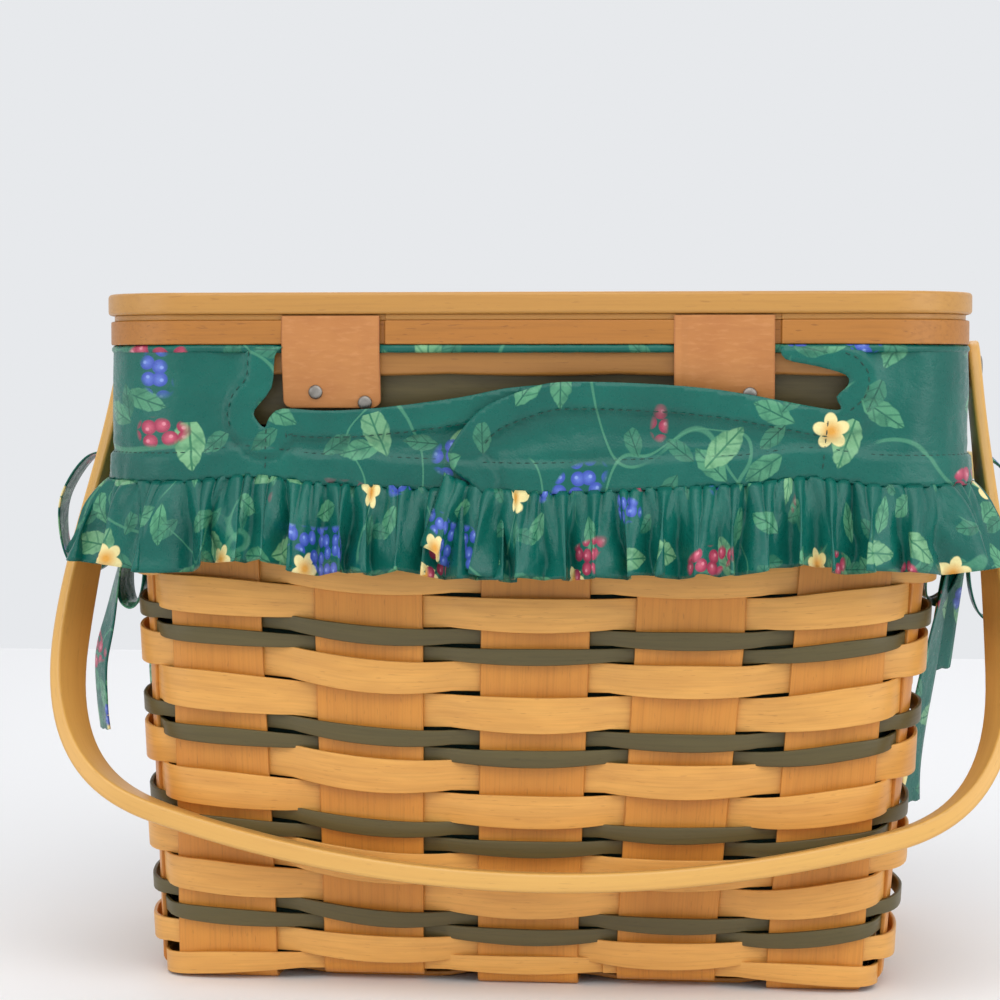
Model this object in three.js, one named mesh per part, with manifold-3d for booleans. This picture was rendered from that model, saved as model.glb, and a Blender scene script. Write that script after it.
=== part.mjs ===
// A woven splint basket with a flat hinged lid, a swing handle and a ruffled cloth skirt.
// Millimetres. +X to the right, +Z up. The hinge side faces -Y.
// The origin is the middle of the underside of the floor.
import * as THREE from 'three';
import Module from 'manifold-3d';
import { mergeVertices } from 'three/addons/utils/BufferGeometryUtils.js';

const wasm = await Module();
wasm.setup();

// Driving dimensions of the whole basket
const bodyHeight = 197;
const topHalfWidth = 125.2;
const topHalfDepth = 80;
const wallLean = 10.4;
const topCornerRadius = 24;
const footCornerRadius = 9;
const touchGap = 0.3;

// Upright splints
const longUprightCount = 5;
const crossUprightCount = 3;
const uprightWidth = 31.75;
const uprightThickness = 1.5;
const uprightCornerGap = 7.5;
const uprightTopDrop = 0.5;
const uprightSpans = 8;

// Weavers
const weavePeriods = 6;
const wideWeaverWidth = 12.7;
const thinWeaverWidth = 6.35;
const firstWeaverWidth = 5;
const weaverThickness = 1.2;
const topBandWidth = 25.4;

// Rim
const rimHeight = 9.5;
const rimOuterThickness = 3.5;
const rimInnerThickness = 2.5;

// Lid
const lidOverhang = 8.5;
const lidCornerRadius = 30;
const lidBoardThickness = 6.6;
const lidSpacerThickness = 1.8;
const lidFrameThickness = 7.3;
const lidFrameInset = 0.8;
const lidSpacerInset = 1.9;
const lidFrameRail = 20;
const lidRestGap = 0.5;

// Hinge straps and their tacks
const strapWidth = 30;
const strapThickness = 1.8;
const strapDrop = 18.7;
const leftStrapInset = 20;
const rightStrapInset = 32.5;
const strapCornerRadius = 2.5;
const tackHeadRadius = 2.15;
const tackHeadHeight = 1.1;
const tackSpread = 7.5;
const tackAboveStrapEnd = 6.7;
const tackStagger = 0.6;

// Handle and its pivots
const handleWidth = 16;
const handleArmThickness = 3.9;
const handleGripThickness = 5.8;
const handleCantDegrees = 20;
const handleStandOff = 17.6;
const armSpread = 6;
const gripCornerWidth = 36.5;
const handleWaistDrop = 100;
const handleCornerDrop = 161;
const handleDrop = 181;
const pivotBelowRim = 6.5;
const handleWallGap = 1.6;
const pinRadius = 2;
const pinHeadRadius = 4.6;
const pinHeadHeight = 1.6;
const pinClearance = 0.3;
const spacerRadius = 7;

// Cloth liner, skirt, ruffle and ties
const clothThickness = 1.5;
const linerThickness = 1;
const skirtTopDrop = 0.8;
const seamDrop = 41;
const ruffleHeight = 28;
const ruffleFlare = 5.4;
const ruffleWave = 3.2;
const ruffleFoldPitch = 15;
const handleSlotHalf = 9.5;
const hingeSlotLeftInset = 47;
const hingeSlotRightInset = 32.4;
const flapSlant = 4;
const leftFlapTopDrop = 20.5;
const rightFlapTopDrop = 14.8;
const leftFlapEndX = -7;
const rightFlapEndX = -33;
const ribbonWidth = 12;
const ribbonThickness = 1.2;
const ribbonReach = 24;
const ribbonFall = 112;
const knotRadius = 4.4;

// Derived places
const uprightOut = uprightThickness / 2;
const baseBendRadius = uprightOut + touchGap;
const weaverIn = uprightOut + touchGap;
const weaverOut = weaverIn + weaverThickness;
const rimIn = weaverOut + touchGap;
const rimOut = rimIn + rimOuterThickness;
const floorTop = 2 * uprightThickness + touchGap;
const rimBottom = bodyHeight - rimHeight;
const skirtIn = rimOut + touchGap;
const skirtOut = skirtIn + clothThickness;
const skirtTop = bodyHeight - skirtTopDrop;
const seamZ = bodyHeight - seamDrop;
const flapLayer = strapThickness + touchGap;
const hingeSlotLeftX = hingeSlotLeftInset - topHalfWidth;
const hingeSlotRightX = topHalfWidth - hingeSlotRightInset;
const leftStrapX = hingeSlotLeftX + leftStrapInset;
const rightStrapX = hingeSlotRightX - rightStrapInset;
const lidBottom = bodyHeight + lidRestGap;
const lidHalfWidth = topHalfWidth + lidOverhang;
const lidHalfDepth = topHalfDepth + lidOverhang;
const pivotZ = bodyHeight - pivotBelowRim;
const handleTopHalf = topHalfWidth + handleStandOff;
const handleWaistHalf = handleTopHalf + armSpread;
const handleGripHalf = handleWaistHalf - gripCornerWidth;

const halfWidthAt = (z) => topHalfWidth - wallLean * (1 - z / bodyHeight);
const halfDepthAt = (z) => topHalfDepth - wallLean * (1 - z / bodyHeight);
// The corners are tight at the foot and grow rounder towards the rim
const cornerRadiusAt = (z) => footCornerRadius + (topCornerRadius - footCornerRadius) * z / bodyHeight;

// Each side has its own run, measured from its middle, counterclockwise seen from above.
const sides = {
  front: { along: halfWidthAt, across: halfDepthAt, turn: -Math.PI / 2, uprights: longUprightCount },
  right: { along: halfDepthAt, across: halfWidthAt, turn: 0, uprights: crossUprightCount },
  back: { along: halfWidthAt, across: halfDepthAt, turn: Math.PI / 2, uprights: longUprightCount },
  left: { along: halfDepthAt, across: halfWidthAt, turn: Math.PI, uprights: crossUprightCount },
};

// A point of the wall's middle surface, moved out by a distance: a run along one side of
// the rounded rectangle that goes round the corner where it is longer than the flat.
function wallPoint(sideName, run, z, out, pointZ = z) {
  const side = sides[sideName];
  const radius = cornerRadiusAt(z);
  const flat = side.along(z) - radius;
  const deep = side.across(z) - radius;
  const sign = Math.sign(run);
  const past = Math.abs(run) - flat;
  let angle = 0;
  let alongX = run;
  let outY = side.across(z);
  if (past > 0) {
    angle = Math.min(past / radius, Math.PI / 2);
    const rest = Math.max(past - radius * Math.PI / 2, 0);
    alongX = sign * (flat + radius * Math.sin(angle));
    outY = deep + radius * Math.cos(angle) - rest;
  }
  alongX += sign * Math.sin(angle) * out;
  outY += Math.cos(angle) * out;
  const cos = Math.cos(side.turn);
  const sin = Math.sin(side.turn);
  return new THREE.Vector3(outY * cos - alongX * sin, outY * sin + alongX * cos, pointZ);
}

// Half the spread of the uprights of one side: the outer edge of the last one stays half
// the corner gap away from the middle of the corner.
const outerEdgeRun = (side, z) => {
  const radius = cornerRadiusAt(z);
  return side.along(z) - radius + (radius * Math.PI / 2 - uprightCornerGap) / 2;
};
const uprightPitch = (side, z) => (outerEdgeRun(side, z) - uprightWidth / 2) / ((side.uprights - 1) / 2);
const uprightRun = (side, index, z) => (index - (side.uprights - 1) / 2) * uprightPitch(side, z);

// A closed surface through sections of an even number of points: the first half runs along
// one face, the second half runs back along the other.
function loft(sections, closed) {
  const count = sections[0].length;
  const half = count / 2;
  const index = [];
  const last = closed ? sections.length : sections.length - 1;
  for (let i = 0; i < last; i++) {
    const here = i * count;
    const next = ((i + 1) % sections.length) * count;
    for (let k = 0; k < count; k++) {
      const up = (k + 1) % count;
      index.push(here + k, here + up, next + up, here + k, next + up, next + k);
    }
  }
  if (!closed) {
    const end = (sections.length - 1) * count;
    for (let k = 0; k < half - 1; k++) {
      const other = count - 1 - k;
      index.push(k, other, other - 1, k, other - 1, k + 1);
      index.push(end + k, end + other - 1, end + other, end + k, end + k + 1, end + other - 1);
    }
  }
  return facingOut(sections.flat(), index);
}

// A cup: rings from the outside of its base up, over the edge and down to its inner floor.
function cup(rings) {
  const count = rings[0].length;
  const index = [];
  for (let i = 0; i < rings.length - 1; i++) {
    for (let k = 0; k < count; k++) {
      const up = (k + 1) % count;
      const here = i * count;
      const next = here + count;
      index.push(here + k, here + up, next + up, here + k, next + up, next + k);
    }
  }
  const top = (rings.length - 1) * count;
  for (let k = 1; k < count - 1; k++) {
    index.push(0, k + 1, k);
    index.push(top, top + k, top + k + 1);
  }
  return facingOut(rings.flat(), index);
}

// An indexed geometry with its faces turned outwards, judged by the sign of its volume.
function facingOut(points, index) {
  let volume = 0;
  for (let i = 0; i < index.length; i += 3) {
    const [a, b, c] = [points[index[i]], points[index[i + 1]], points[index[i + 2]]];
    volume += a.dot(new THREE.Vector3().crossVectors(b, c));
  }
  if (volume < 0) {
    for (let i = 0; i < index.length; i += 3) [index[i + 1], index[i + 2]] = [index[i + 2], index[i + 1]];
  }
  const geometry = new THREE.BufferGeometry().setFromPoints(points);
  geometry.setIndex(index);
  geometry.computeVertexNormals();
  return geometry;
}

function toSolid(geometry) {
  const bare = geometry.clone();
  bare.deleteAttribute('normal');
  bare.deleteAttribute('uv');
  const merged = mergeVertices(bare);
  return new wasm.Manifold(new wasm.Mesh({
    numProp: 3,
    vertProperties: new Float32Array(merged.attributes.position.array),
    triVerts: new Uint32Array(merged.index.array),
  }));
}

function toGeometry(solid) {
  const mesh = solid.getMesh();
  const geometry = new THREE.BufferGeometry();
  geometry.setAttribute('position', new THREE.BufferAttribute(new Float32Array(mesh.vertProperties), 3));
  geometry.setIndex(new THREE.BufferAttribute(new Uint32Array(mesh.triVerts), 1));
  geometry.computeVertexNormals();
  return geometry;
}

const cut = (geometry, tool) => toGeometry(toSolid(geometry).subtract(toSolid(tool)));
const join = (...geometries) => toGeometry(geometries.map(toSolid).reduce((a, b) => a.add(b)));

const basket = new THREE.Group();

function addMesh(name, geometry, material, parent = basket) {
  const mesh = new THREE.Mesh(geometry, new THREE.MeshStandardMaterial(material));
  mesh.name = name;
  parent.add(mesh);
  return mesh;
}

const maple = { color: 0xd9a45c, roughness: 0.55, metalness: 0 };
const mapleDark = { color: 0xcd9048, roughness: 0.55, metalness: 0 };
const olive = { color: 0x6b6342, roughness: 0.6, metalness: 0 };
const leather = { color: 0xc98652, roughness: 0.6, metalness: 0 };
const steel = { color: 0xa9a6a0, roughness: 0.35, metalness: 1 };
const cloth = { color: 0x1c5a50, roughness: 0.45, metalness: 0 };

// The bore for one handle pin, through everything at the middle of an end wall
const pinReach = handleTopHalf - topHalfWidth + 2 * topCornerRadius;
function pinBore(sign) {
  const bore = new THREE.CylinderGeometry(pinRadius + pinClearance, pinRadius + pinClearance, pinReach, 12);
  bore.rotateZ(Math.PI / 2);
  bore.translate(sign * topHalfWidth, 0, pivotZ);
  return bore;
}

// Uprights: one splint runs down a wall, under the floor and up the opposite wall. On the
// floor the long and the cross splints pass over and under each other.
const lowLevel = uprightThickness / 2;
const highLevel = lowLevel + uprightThickness + touchGap;

function uprightSections(startSide, endSide, index, crossSide) {
  const side = sides[startSide];
  const acrossEnd = sides[endSide].uprights - 1 - index;
  const levelAt = (j) => ((index + j + longUprightCount + crossUprightCount) % 2 === 0) === (startSide === 'front')
    ? lowLevel : highLevel;
  const cross = sides[crossSide];
  const crossCount = cross.uprights;
  // A section of the wall at a height, turned through the bend at the foot where asked
  const section = (name, order, z, turn) => {
    const place = (edge, face) => {
      const reach = baseBendRadius * (Math.cos(turn) - 1) + face * Math.cos(turn);
      const run = uprightRun(side, order, z) + edge;
      return wallPoint(name, run, z, reach, z - (baseBendRadius + face) * Math.sin(turn));
    };
    const a = name === startSide ? -uprightWidth / 2 : uprightWidth / 2;
    return [place(a, uprightOut), place(-a, uprightOut), place(-a, -uprightOut), place(a, -uprightOut)];
  };
  const bend = (name, order, level) => [0, Math.PI / 4, Math.PI / 2].map((turn) =>
    section(name, order, level + baseBendRadius, turn));
  // Sections from the top down to the foot, close enough to follow the change of the corner
  const rise = (name, order, level) => {
    const topZ = bodyHeight - uprightTopDrop;
    const footZ = level + baseBendRadius;
    return Array.from({ length: uprightSpans }, (_, k) =>
      section(name, order, topZ + (footZ - topZ) * k / uprightSpans, 0));
  };
  const startLevel = levelAt(0);
  const endLevel = levelAt(crossCount - 1);
  const sections = [...rise(startSide, index, startLevel), ...bend(startSide, index, startLevel)];
  // Floor sections between the inner edges of the crossings
  const startBend = sections.at(-1);
  const endBend = bend(endSide, acrossEnd, endLevel);
  const finish = endBend[2];
  for (let j = 0; j < crossCount - 1; j++) {
    const near = uprightRun(cross, j, 0) + uprightWidth / 2;
    const far = uprightRun(cross, j + 1, 0) - uprightWidth / 2;
    for (const [run, level] of [[near, levelAt(j)], [far, levelAt(j + 1)]]) {
      sections.push(startBend.map((point, k) => {
        const other = finish[k];
        const along = startSide === 'front' ? 'y' : 'x';
        const aim = startSide === 'front' ? run : -run;
        const share = (aim - point[along]) / (other[along] - point[along]);
        const mid = point.clone().lerp(other, share);
        mid.z = level + (k < 2 ? -uprightOut : uprightOut);
        return mid;
      }));
    }
  }
  sections.push(...endBend.reverse(), ...rise(endSide, acrossEnd, endLevel).reverse());
  return sections;
}

for (let i = 0; i < longUprightCount; i++) {
  addMesh(`upright_long_${i + 1}`, loft(uprightSections('front', 'back', i, 'right'), false), mapleDark);
}
const middleCross = (crossUprightCount - 1) / 2;
for (let i = 0; i < crossUprightCount; i++) {
  let geometry = loft(uprightSections('right', 'left', i, 'back'), false);
  if (i === middleCross) geometry = cut(cut(geometry, pinBore(1)), pinBore(-1));
  addMesh(`upright_cross_${i + 1}`, geometry, mapleDark);
}

// The stations of a ring round the basket, two at the edges of each upright
function ringStations(z) {
  const stations = [];
  let order = 0;
  for (const name of ['front', 'right', 'back', 'left']) {
    const side = sides[name];
    for (let i = 0; i < side.uprights; i++) {
      const middle = uprightRun(side, i, z);
      const reach = uprightWidth / 2 + touchGap;
      stations.push({ name, run: middle - reach, order }, { name, run: middle + reach, order });
      order++;
    }
  }
  return stations;
}

// A band round the basket that follows the lean of the wall. Its inner and outer faces are
// given for each upright by a function of the upright's order.
function ring(z, height, facesAt) {
  const high = ringStations(z + height);
  return loft(ringStations(z).map(({ name, run, order }, k) => {
    const [inside, outside] = facesAt(order);
    const low = (out) => wallPoint(name, run, z, out);
    const top = (out) => wallPoint(name, high[k].run, z + height, out);
    return [low(outside), top(outside), top(inside), low(inside)];
  }), true);
}

// Weavers: each row is a ring of its own that passes outside one upright and inside the
// next. Two wide rows and two thin rows make a period, pressed to fill the woven height.
const rowWidths = [];
for (let period = 0; period < weavePeriods; period++) {
  const wide = period === 0 ? firstWeaverWidth : wideWeaverWidth;
  rowWidths.push(['wide', wide], ['wide', wide], ['thin', thinWeaverWidth], ['thin', thinWeaverWidth]);
}
const wovenBottom = floorTop + touchGap;
const wovenTop = bodyHeight - topBandWidth - touchGap;
const nominalRows = rowWidths.reduce((sum, [, width]) => sum + width, 0);
const rowFit = (wovenTop - wovenBottom - rowWidths.length * touchGap) / nominalRows;

function weaver(z, height, startsOutside) {
  const outerFaces = [weaverIn, weaverOut];
  const innerFaces = [-weaverOut, -weaverIn];
  return ring(z, height, (order) => (order % 2 === 0) === startsOutside ? outerFaces : innerFaces);
}

let rowZ = wovenBottom;
const rowCounts = { wide: 0, thin: 0 };
rowWidths.forEach(([kind, width], row) => {
  const height = width * rowFit;
  rowCounts[kind]++;
  addMesh(`weaver_${kind}_${rowCounts[kind]}`, weaver(rowZ, height, row % 2 === 0), kind === 'wide' ? maple : olive);
  rowZ += height + touchGap;
});

// The stained top band and the two rim bands that clamp the tops of the uprights
const topBandHeight = topBandWidth - uprightTopDrop;
const boreBoth = (geometry) => cut(cut(geometry, pinBore(1)), pinBore(-1));
addMesh('weaver_top_band', boreBoth(ring(bodyHeight - topBandWidth, topBandHeight,
  () => [weaverIn, weaverOut])), olive);
addMesh('rim_outer_band', boreBoth(ring(rimBottom, rimHeight, () => [rimIn, rimOut])), maple);
addMesh('rim_inner_band', boreBoth(ring(rimBottom, rimHeight,
  () => [-weaverIn - rimInnerThickness, -weaverIn])), maple);

// Cloth liner: an open bag inside the walls, from the floor to just under the rim's top
const linerOut = -weaverIn - rimInnerThickness - touchGap;
const linerIn = linerOut - linerThickness;
function linerRing(z, out, pointZ) {
  return ringStations(z).map(({ name, run }) => wallPoint(name, run, z, out, pointZ));
}
const linerFloor = floorTop + touchGap;
addMesh('liner_bag', cup([
  linerRing(linerFloor, linerOut, linerFloor), linerRing(skirtTop, linerOut, skirtTop),
  linerRing(skirtTop, linerIn, skirtTop), linerRing(linerFloor, linerIn, linerFloor + linerThickness),
]), cloth);

// Lid: a top board, a thin recessed spacer and a frame below it, notched for the straps
function roundedOutline(halfWidth, halfDepth, radius, notchFloor) {
  const shape = new THREE.Shape();
  shape.moveTo(halfWidth, radius - halfDepth);
  shape.lineTo(halfWidth, halfDepth - radius);
  shape.absarc(halfWidth - radius, halfDepth - radius, radius, 0, Math.PI / 2);
  shape.absarc(radius - halfWidth, halfDepth - radius, radius, Math.PI / 2, Math.PI);
  shape.absarc(radius - halfWidth, radius - halfDepth, radius, Math.PI, 3 * Math.PI / 2);
  if (notchFloor) {
    for (const x of [leftStrapX, rightStrapX]) {
      const reach = strapWidth / 2 + 2 * touchGap;
      shape.lineTo(x - reach, -halfDepth);
      shape.lineTo(x - reach, -notchFloor);
      shape.lineTo(x + reach, -notchFloor);
      shape.lineTo(x + reach, -halfDepth);
    }
  }
  shape.absarc(halfWidth - radius, radius - halfDepth, radius, 3 * Math.PI / 2, 2 * Math.PI);
  return shape;
}

function slab(shape, thickness, z) {
  const geometry = new THREE.ExtrudeGeometry(shape, { depth: thickness, bevelEnabled: false, curveSegments: 7 });
  geometry.translate(0, 0, z);
  return geometry;
}

const strapInY = topHalfDepth + rimOut + touchGap;
const notchFloor = strapInY - touchGap;
const frameHalfWidth = lidHalfWidth - lidFrameInset;
const frameHalfDepth = lidHalfDepth - lidFrameInset;
const frameRadius = lidCornerRadius - lidFrameInset;
const frameShape = roundedOutline(frameHalfWidth, frameHalfDepth, frameRadius, notchFloor);
const frameHole = roundedOutline(frameHalfWidth - lidFrameRail, frameHalfDepth - lidFrameRail,
  Math.max(frameRadius - lidFrameRail, frameRadius / 4));
frameShape.holes.push(frameHole);
const spacerZ = lidBottom + lidFrameThickness;
const boardZ = spacerZ + lidSpacerThickness;
addMesh('lid_frame', slab(frameShape, lidFrameThickness, lidBottom), mapleDark);
addMesh('lid_spacer', slab(roundedOutline(lidHalfWidth - lidSpacerInset, lidHalfDepth - lidSpacerInset,
  lidCornerRadius - lidSpacerInset, notchFloor), lidSpacerThickness, spacerZ), mapleDark);
addMesh('lid_board', slab(roundedOutline(lidHalfWidth, lidHalfDepth, lidCornerRadius), lidBoardThickness, boardZ),
  maple);

// Leather straps, tucked in under the board and tacked to the wall below the rim
function strap(x) {
  const top = boardZ - touchGap;
  const bottom = bodyHeight - strapDrop;
  const half = strapWidth / 2;
  const shape = new THREE.Shape();
  shape.moveTo(x - half, top);
  shape.lineTo(x - half, bottom + strapCornerRadius);
  shape.absarc(x - half + strapCornerRadius, bottom + strapCornerRadius, strapCornerRadius, Math.PI, 3 * Math.PI / 2);
  shape.absarc(x + half - strapCornerRadius, bottom + strapCornerRadius, strapCornerRadius, -Math.PI / 2, 0);
  shape.lineTo(x + half, top);
  const geometry = new THREE.ExtrudeGeometry(shape, { depth: strapThickness, bevelEnabled: false, curveSegments: 3 });
  geometry.rotateX(Math.PI / 2);
  geometry.translate(0, -strapInY, 0);
  return geometry;
}

function tack(x, z) {
  const profile = [
    new THREE.Vector2(0, 0), new THREE.Vector2(tackHeadRadius, 0),
    new THREE.Vector2(tackHeadRadius * Math.cos(Math.PI / 6), tackHeadHeight / 2), new THREE.Vector2(0, tackHeadHeight),
  ];
  const geometry = new THREE.LatheGeometry(profile, 10);
  geometry.rotateX(Math.PI);
  geometry.translate(x, -strapInY - strapThickness - touchGap, z);
  return geometry;
}

const tackZ = bodyHeight - strapDrop + tackAboveStrapEnd;
for (const [label, x] of [['left', leftStrapX], ['right', rightStrapX]]) {
  addMesh(`hinge_strap_${label}`, strap(x), leather);
  addMesh(`hinge_tack_${label}_1`, tack(x - tackSpread, tackZ + tackStagger / 2), steel);
  addMesh(`hinge_tack_${label}_2`, tack(x + tackSpread, tackZ - tackStagger / 2), steel);
}

// Handle: one bent strip, thin in its arms and thicker in its grip, hanging from two pins
const smooth = (share) => share * share * (3 - 2 * share);
const armFlare = armSpread / 5;
const armRise = armFlare * (handleWidth / 2 + pinHeadRadius) / (handleWaistDrop / 3);

function handleOuterHalf() {
  const point = (x, drop) => new THREE.Vector2(x, -drop);
  const armEnd = -handleWidth / 2;
  const arm = new THREE.CubicBezierCurve(point(handleTopHalf, armEnd),
    point(handleTopHalf + armFlare, handleWaistDrop / 3),
    point(handleWaistHalf, 2 * handleWaistDrop / 3), point(handleWaistHalf, handleWaistDrop));
  const corner = new THREE.CubicBezierCurve(point(handleWaistHalf, handleWaistDrop),
    point(handleWaistHalf, (handleWaistDrop + handleCornerDrop * 2) / 3),
    point((handleWaistHalf + handleGripHalf) / 2, handleCornerDrop - (handleDrop - handleCornerDrop) / 3),
    point(handleGripHalf, handleCornerDrop));
  const grip = new THREE.CubicBezierCurve(point(handleGripHalf, handleCornerDrop),
    point(2 * handleGripHalf / 3, handleDrop - (handleDrop - handleCornerDrop) / 3),
    point(handleGripHalf / 3, handleDrop), point(0, handleDrop));
  const steps = [];
  arm.getPoints(6).forEach((p, k) => steps.push([p, 0, smooth(Math.max(k - 1, 0) / 5)]));
  corner.getPoints(7).slice(1).forEach((p, k) => steps.push([p, smooth((k + 1) / 7), 1]));
  grip.getPoints(5).slice(1).forEach((p) => steps.push([p, 1, 1]));
  return steps;
}

// The whole bend from one arm to the other. The strip is flat on its pins, and below them it
// is canted, so that its front edge stands further out than its back edge.
function handleSections() {
  const half = handleOuterHalf();
  const mirrored = half.slice(0, -1).reverse().map(([p, ...shares]) => [new THREE.Vector2(-p.x, p.y), ...shares]);
  const line = [...half, ...mirrored];
  return line.map(([outer, share, cantShare], k) => {
    const before = line[Math.max(k - 1, 0)][0];
    const after = line[Math.min(k + 1, line.length - 1)][0];
    const tangent = after.clone().sub(before).normalize();
    const inward = new THREE.Vector2(tangent.y, -tangent.x);
    const thickness = handleArmThickness + (handleGripThickness - handleArmThickness) * share;
    const cant = handleCantDegrees * Math.PI / 180 * cantShare;
    const corner = (depth, side) => {
      const p = outer.clone().addScaledVector(inward, depth * Math.cos(cant) + side * handleWidth / 2 * Math.sin(cant));
      return new THREE.Vector3(p.x, side * handleWidth / 2 * Math.cos(cant) - depth * Math.sin(cant), p.y);
    };
    return [corner(0, -1), corner(0, 1), corner(thickness, 1), corner(thickness, -1)];
  });
}

function handleGeometry() {
  const sections = handleSections();
  // The arms end in half rounds about the pins, and each has a bore
  const plate = new THREE.Shape();
  plate.absarc(0, 0, handleWidth / 2, 0, Math.PI);
  plate.lineTo(-handleWidth / 2, -handleDrop - handleWidth);
  plate.lineTo(handleWidth / 2, -handleDrop - handleWidth);
  const outline = new THREE.ExtrudeGeometry(plate, { depth: 4 * handleWaistHalf, bevelEnabled: false, curveSegments: 6 });
  outline.rotateX(Math.PI / 2);
  outline.rotateZ(Math.PI / 2);
  outline.translate(-2 * handleWaistHalf, 0, 0);
  const bore = new THREE.CylinderGeometry(pinRadius + pinClearance, pinRadius + pinClearance, 4 * handleWaistHalf, 12);
  bore.rotateZ(Math.PI / 2);
  return toGeometry(toSolid(loft(sections, false)).intersect(toSolid(outline)).subtract(toSolid(bore)));
}

// The handle leans on the hinge side: the back edge of its grip rests near the weave. The
// lean grows until every point of that edge is clear of the front wall and its corners.
function handleLean() {
  const out = weaverOut + handleWallGap;
  const corners = handleSections().flat();
  const isClear = (lean) => corners.every((corner) => {
    const back = -corner.z * Math.sin(lean) - corner.y * Math.cos(lean);
    const z = pivotZ + corner.z * Math.cos(lean) - corner.y * Math.sin(lean);
    const radius = cornerRadiusAt(z);
    const past = Math.max(Math.abs(corner.x) - halfWidthAt(z) + radius, 0);
    const reach = radius + out;
    return past >= reach || back >= halfDepthAt(z) - radius + Math.sqrt(reach * reach - past * past);
  });
  let low = 0;
  let high = Math.PI / 3;
  for (let step = 0; step < 30; step++) {
    const lean = (low + high) / 2;
    if (isClear(lean)) high = lean;
    else low = lean;
  }
  return high;
}

const handleGroup = new THREE.Group();
handleGroup.position.set(0, 0, pivotZ);
handleGroup.rotation.x = -handleLean();
basket.add(handleGroup);
addMesh('handle', handleGeometry(), maple, handleGroup);

// A turned spacer keeps each arm off the rim, and a round headed pin goes through both
const armInner = handleTopHalf - handleArmThickness;
const rimFace = topHalfWidth + rimOut;
for (const [label, sign] of [['left', -1], ['right', 1]]) {
  const spacerLength = armInner - rimFace - 2 * touchGap;
  const bore = pinRadius + pinClearance;
  const spacer = new THREE.LatheGeometry([
    new THREE.Vector2(bore, 0), new THREE.Vector2(spacerRadius, 0), new THREE.Vector2(spacerRadius, spacerLength),
    new THREE.Vector2(bore, spacerLength), new THREE.Vector2(bore, 0),
  ], 14);
  spacer.rotateZ(-sign * Math.PI / 2);
  spacer.translate(sign * (rimFace + touchGap), 0, pivotZ);
  addMesh(`handle_spacer_${label}`, spacer, mapleDark);
  const headBase = handleTopHalf + armRise + 2 * touchGap;
  const shankEnd = topHalfWidth - weaverIn - rimInnerThickness;
  const pin = new THREE.LatheGeometry([
    new THREE.Vector2(0, shankEnd), new THREE.Vector2(pinRadius, shankEnd), new THREE.Vector2(pinRadius, headBase),
    new THREE.Vector2(pinHeadRadius, headBase),
    new THREE.Vector2(pinHeadRadius * Math.cos(Math.PI / 6), headBase + pinHeadHeight / 2),
    new THREE.Vector2(0, headBase + pinHeadHeight),
  ], 12);
  pin.rotateZ(-sign * Math.PI / 2);
  pin.translate(0, 0, pivotZ);
  addMesh(`handle_pin_${label}`, pin, steel);
}

// Skirt: cloth that hangs from the rim in three panels. The back one wraps round to the
// handle slots; the two front ones cross over each other under the hinges.
const outlineEdge = (name) => outerEdgeRun(sides[name], bodyHeight) + touchGap;
const innerEdge = (name) => outlineEdge(name) - uprightWidth - 2 * touchGap;

// A station of hanging cloth: a place on the top outline, with the top and layer of the cloth
const station = (name, run, top = skirtTop, layer = 0) => ({ name, run, top, layer });
const leftTop = bodyHeight - leftFlapTopDrop;
const rightTop = bodyHeight - rightFlapTopDrop;
const leftPath = [
  station('left', handleSlotHalf), station('left', innerEdge('left')), station('left', outlineEdge('left')),
  station('front', -outlineEdge('front')), station('front', hingeSlotLeftX - flapSlant),
  station('front', hingeSlotLeftX, leftTop), station('front', rightFlapEndX, leftTop),
  station('front', leftFlapEndX, leftTop),
];
const rightPath = [
  station('front', rightFlapEndX, (leftTop + seamZ) / 2, flapLayer),
  station('front', (rightFlapEndX + leftFlapEndX) / 2, rightTop, flapLayer),
  station('front', leftFlapEndX + flapSlant, rightTop, flapLayer),
  station('front', rightStrapX + strapWidth / 2 + flapSlant, rightTop, flapLayer),
  station('front', hingeSlotRightX - flapSlant, rightTop - flapSlant),
  station('front', hingeSlotRightX), station('front', outlineEdge('front')),
  station('right', -outlineEdge('right')), station('right', -innerEdge('right')), station('right', -handleSlotHalf),
];
const backPath = [
  station('right', handleSlotHalf), station('right', innerEdge('right')), station('right', outlineEdge('right')),
  station('back', -outlineEdge('back')), station('back', -innerEdge('back')), station('back', innerEdge('back')),
  station('back', outlineEdge('back')), station('left', -outlineEdge('left')), station('left', -innerEdge('left')),
  station('left', -handleSlotHalf),
];

function skirtBand(path) {
  return loft(path.map(({ name, run, top, layer }) => {
    const point = (out, z) => wallPoint(name, run, bodyHeight, out + layer, z);
    return [point(skirtOut, seamZ), point(skirtOut, top), point(skirtIn, top), point(skirtIn, seamZ)];
  }), false);
}

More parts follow.
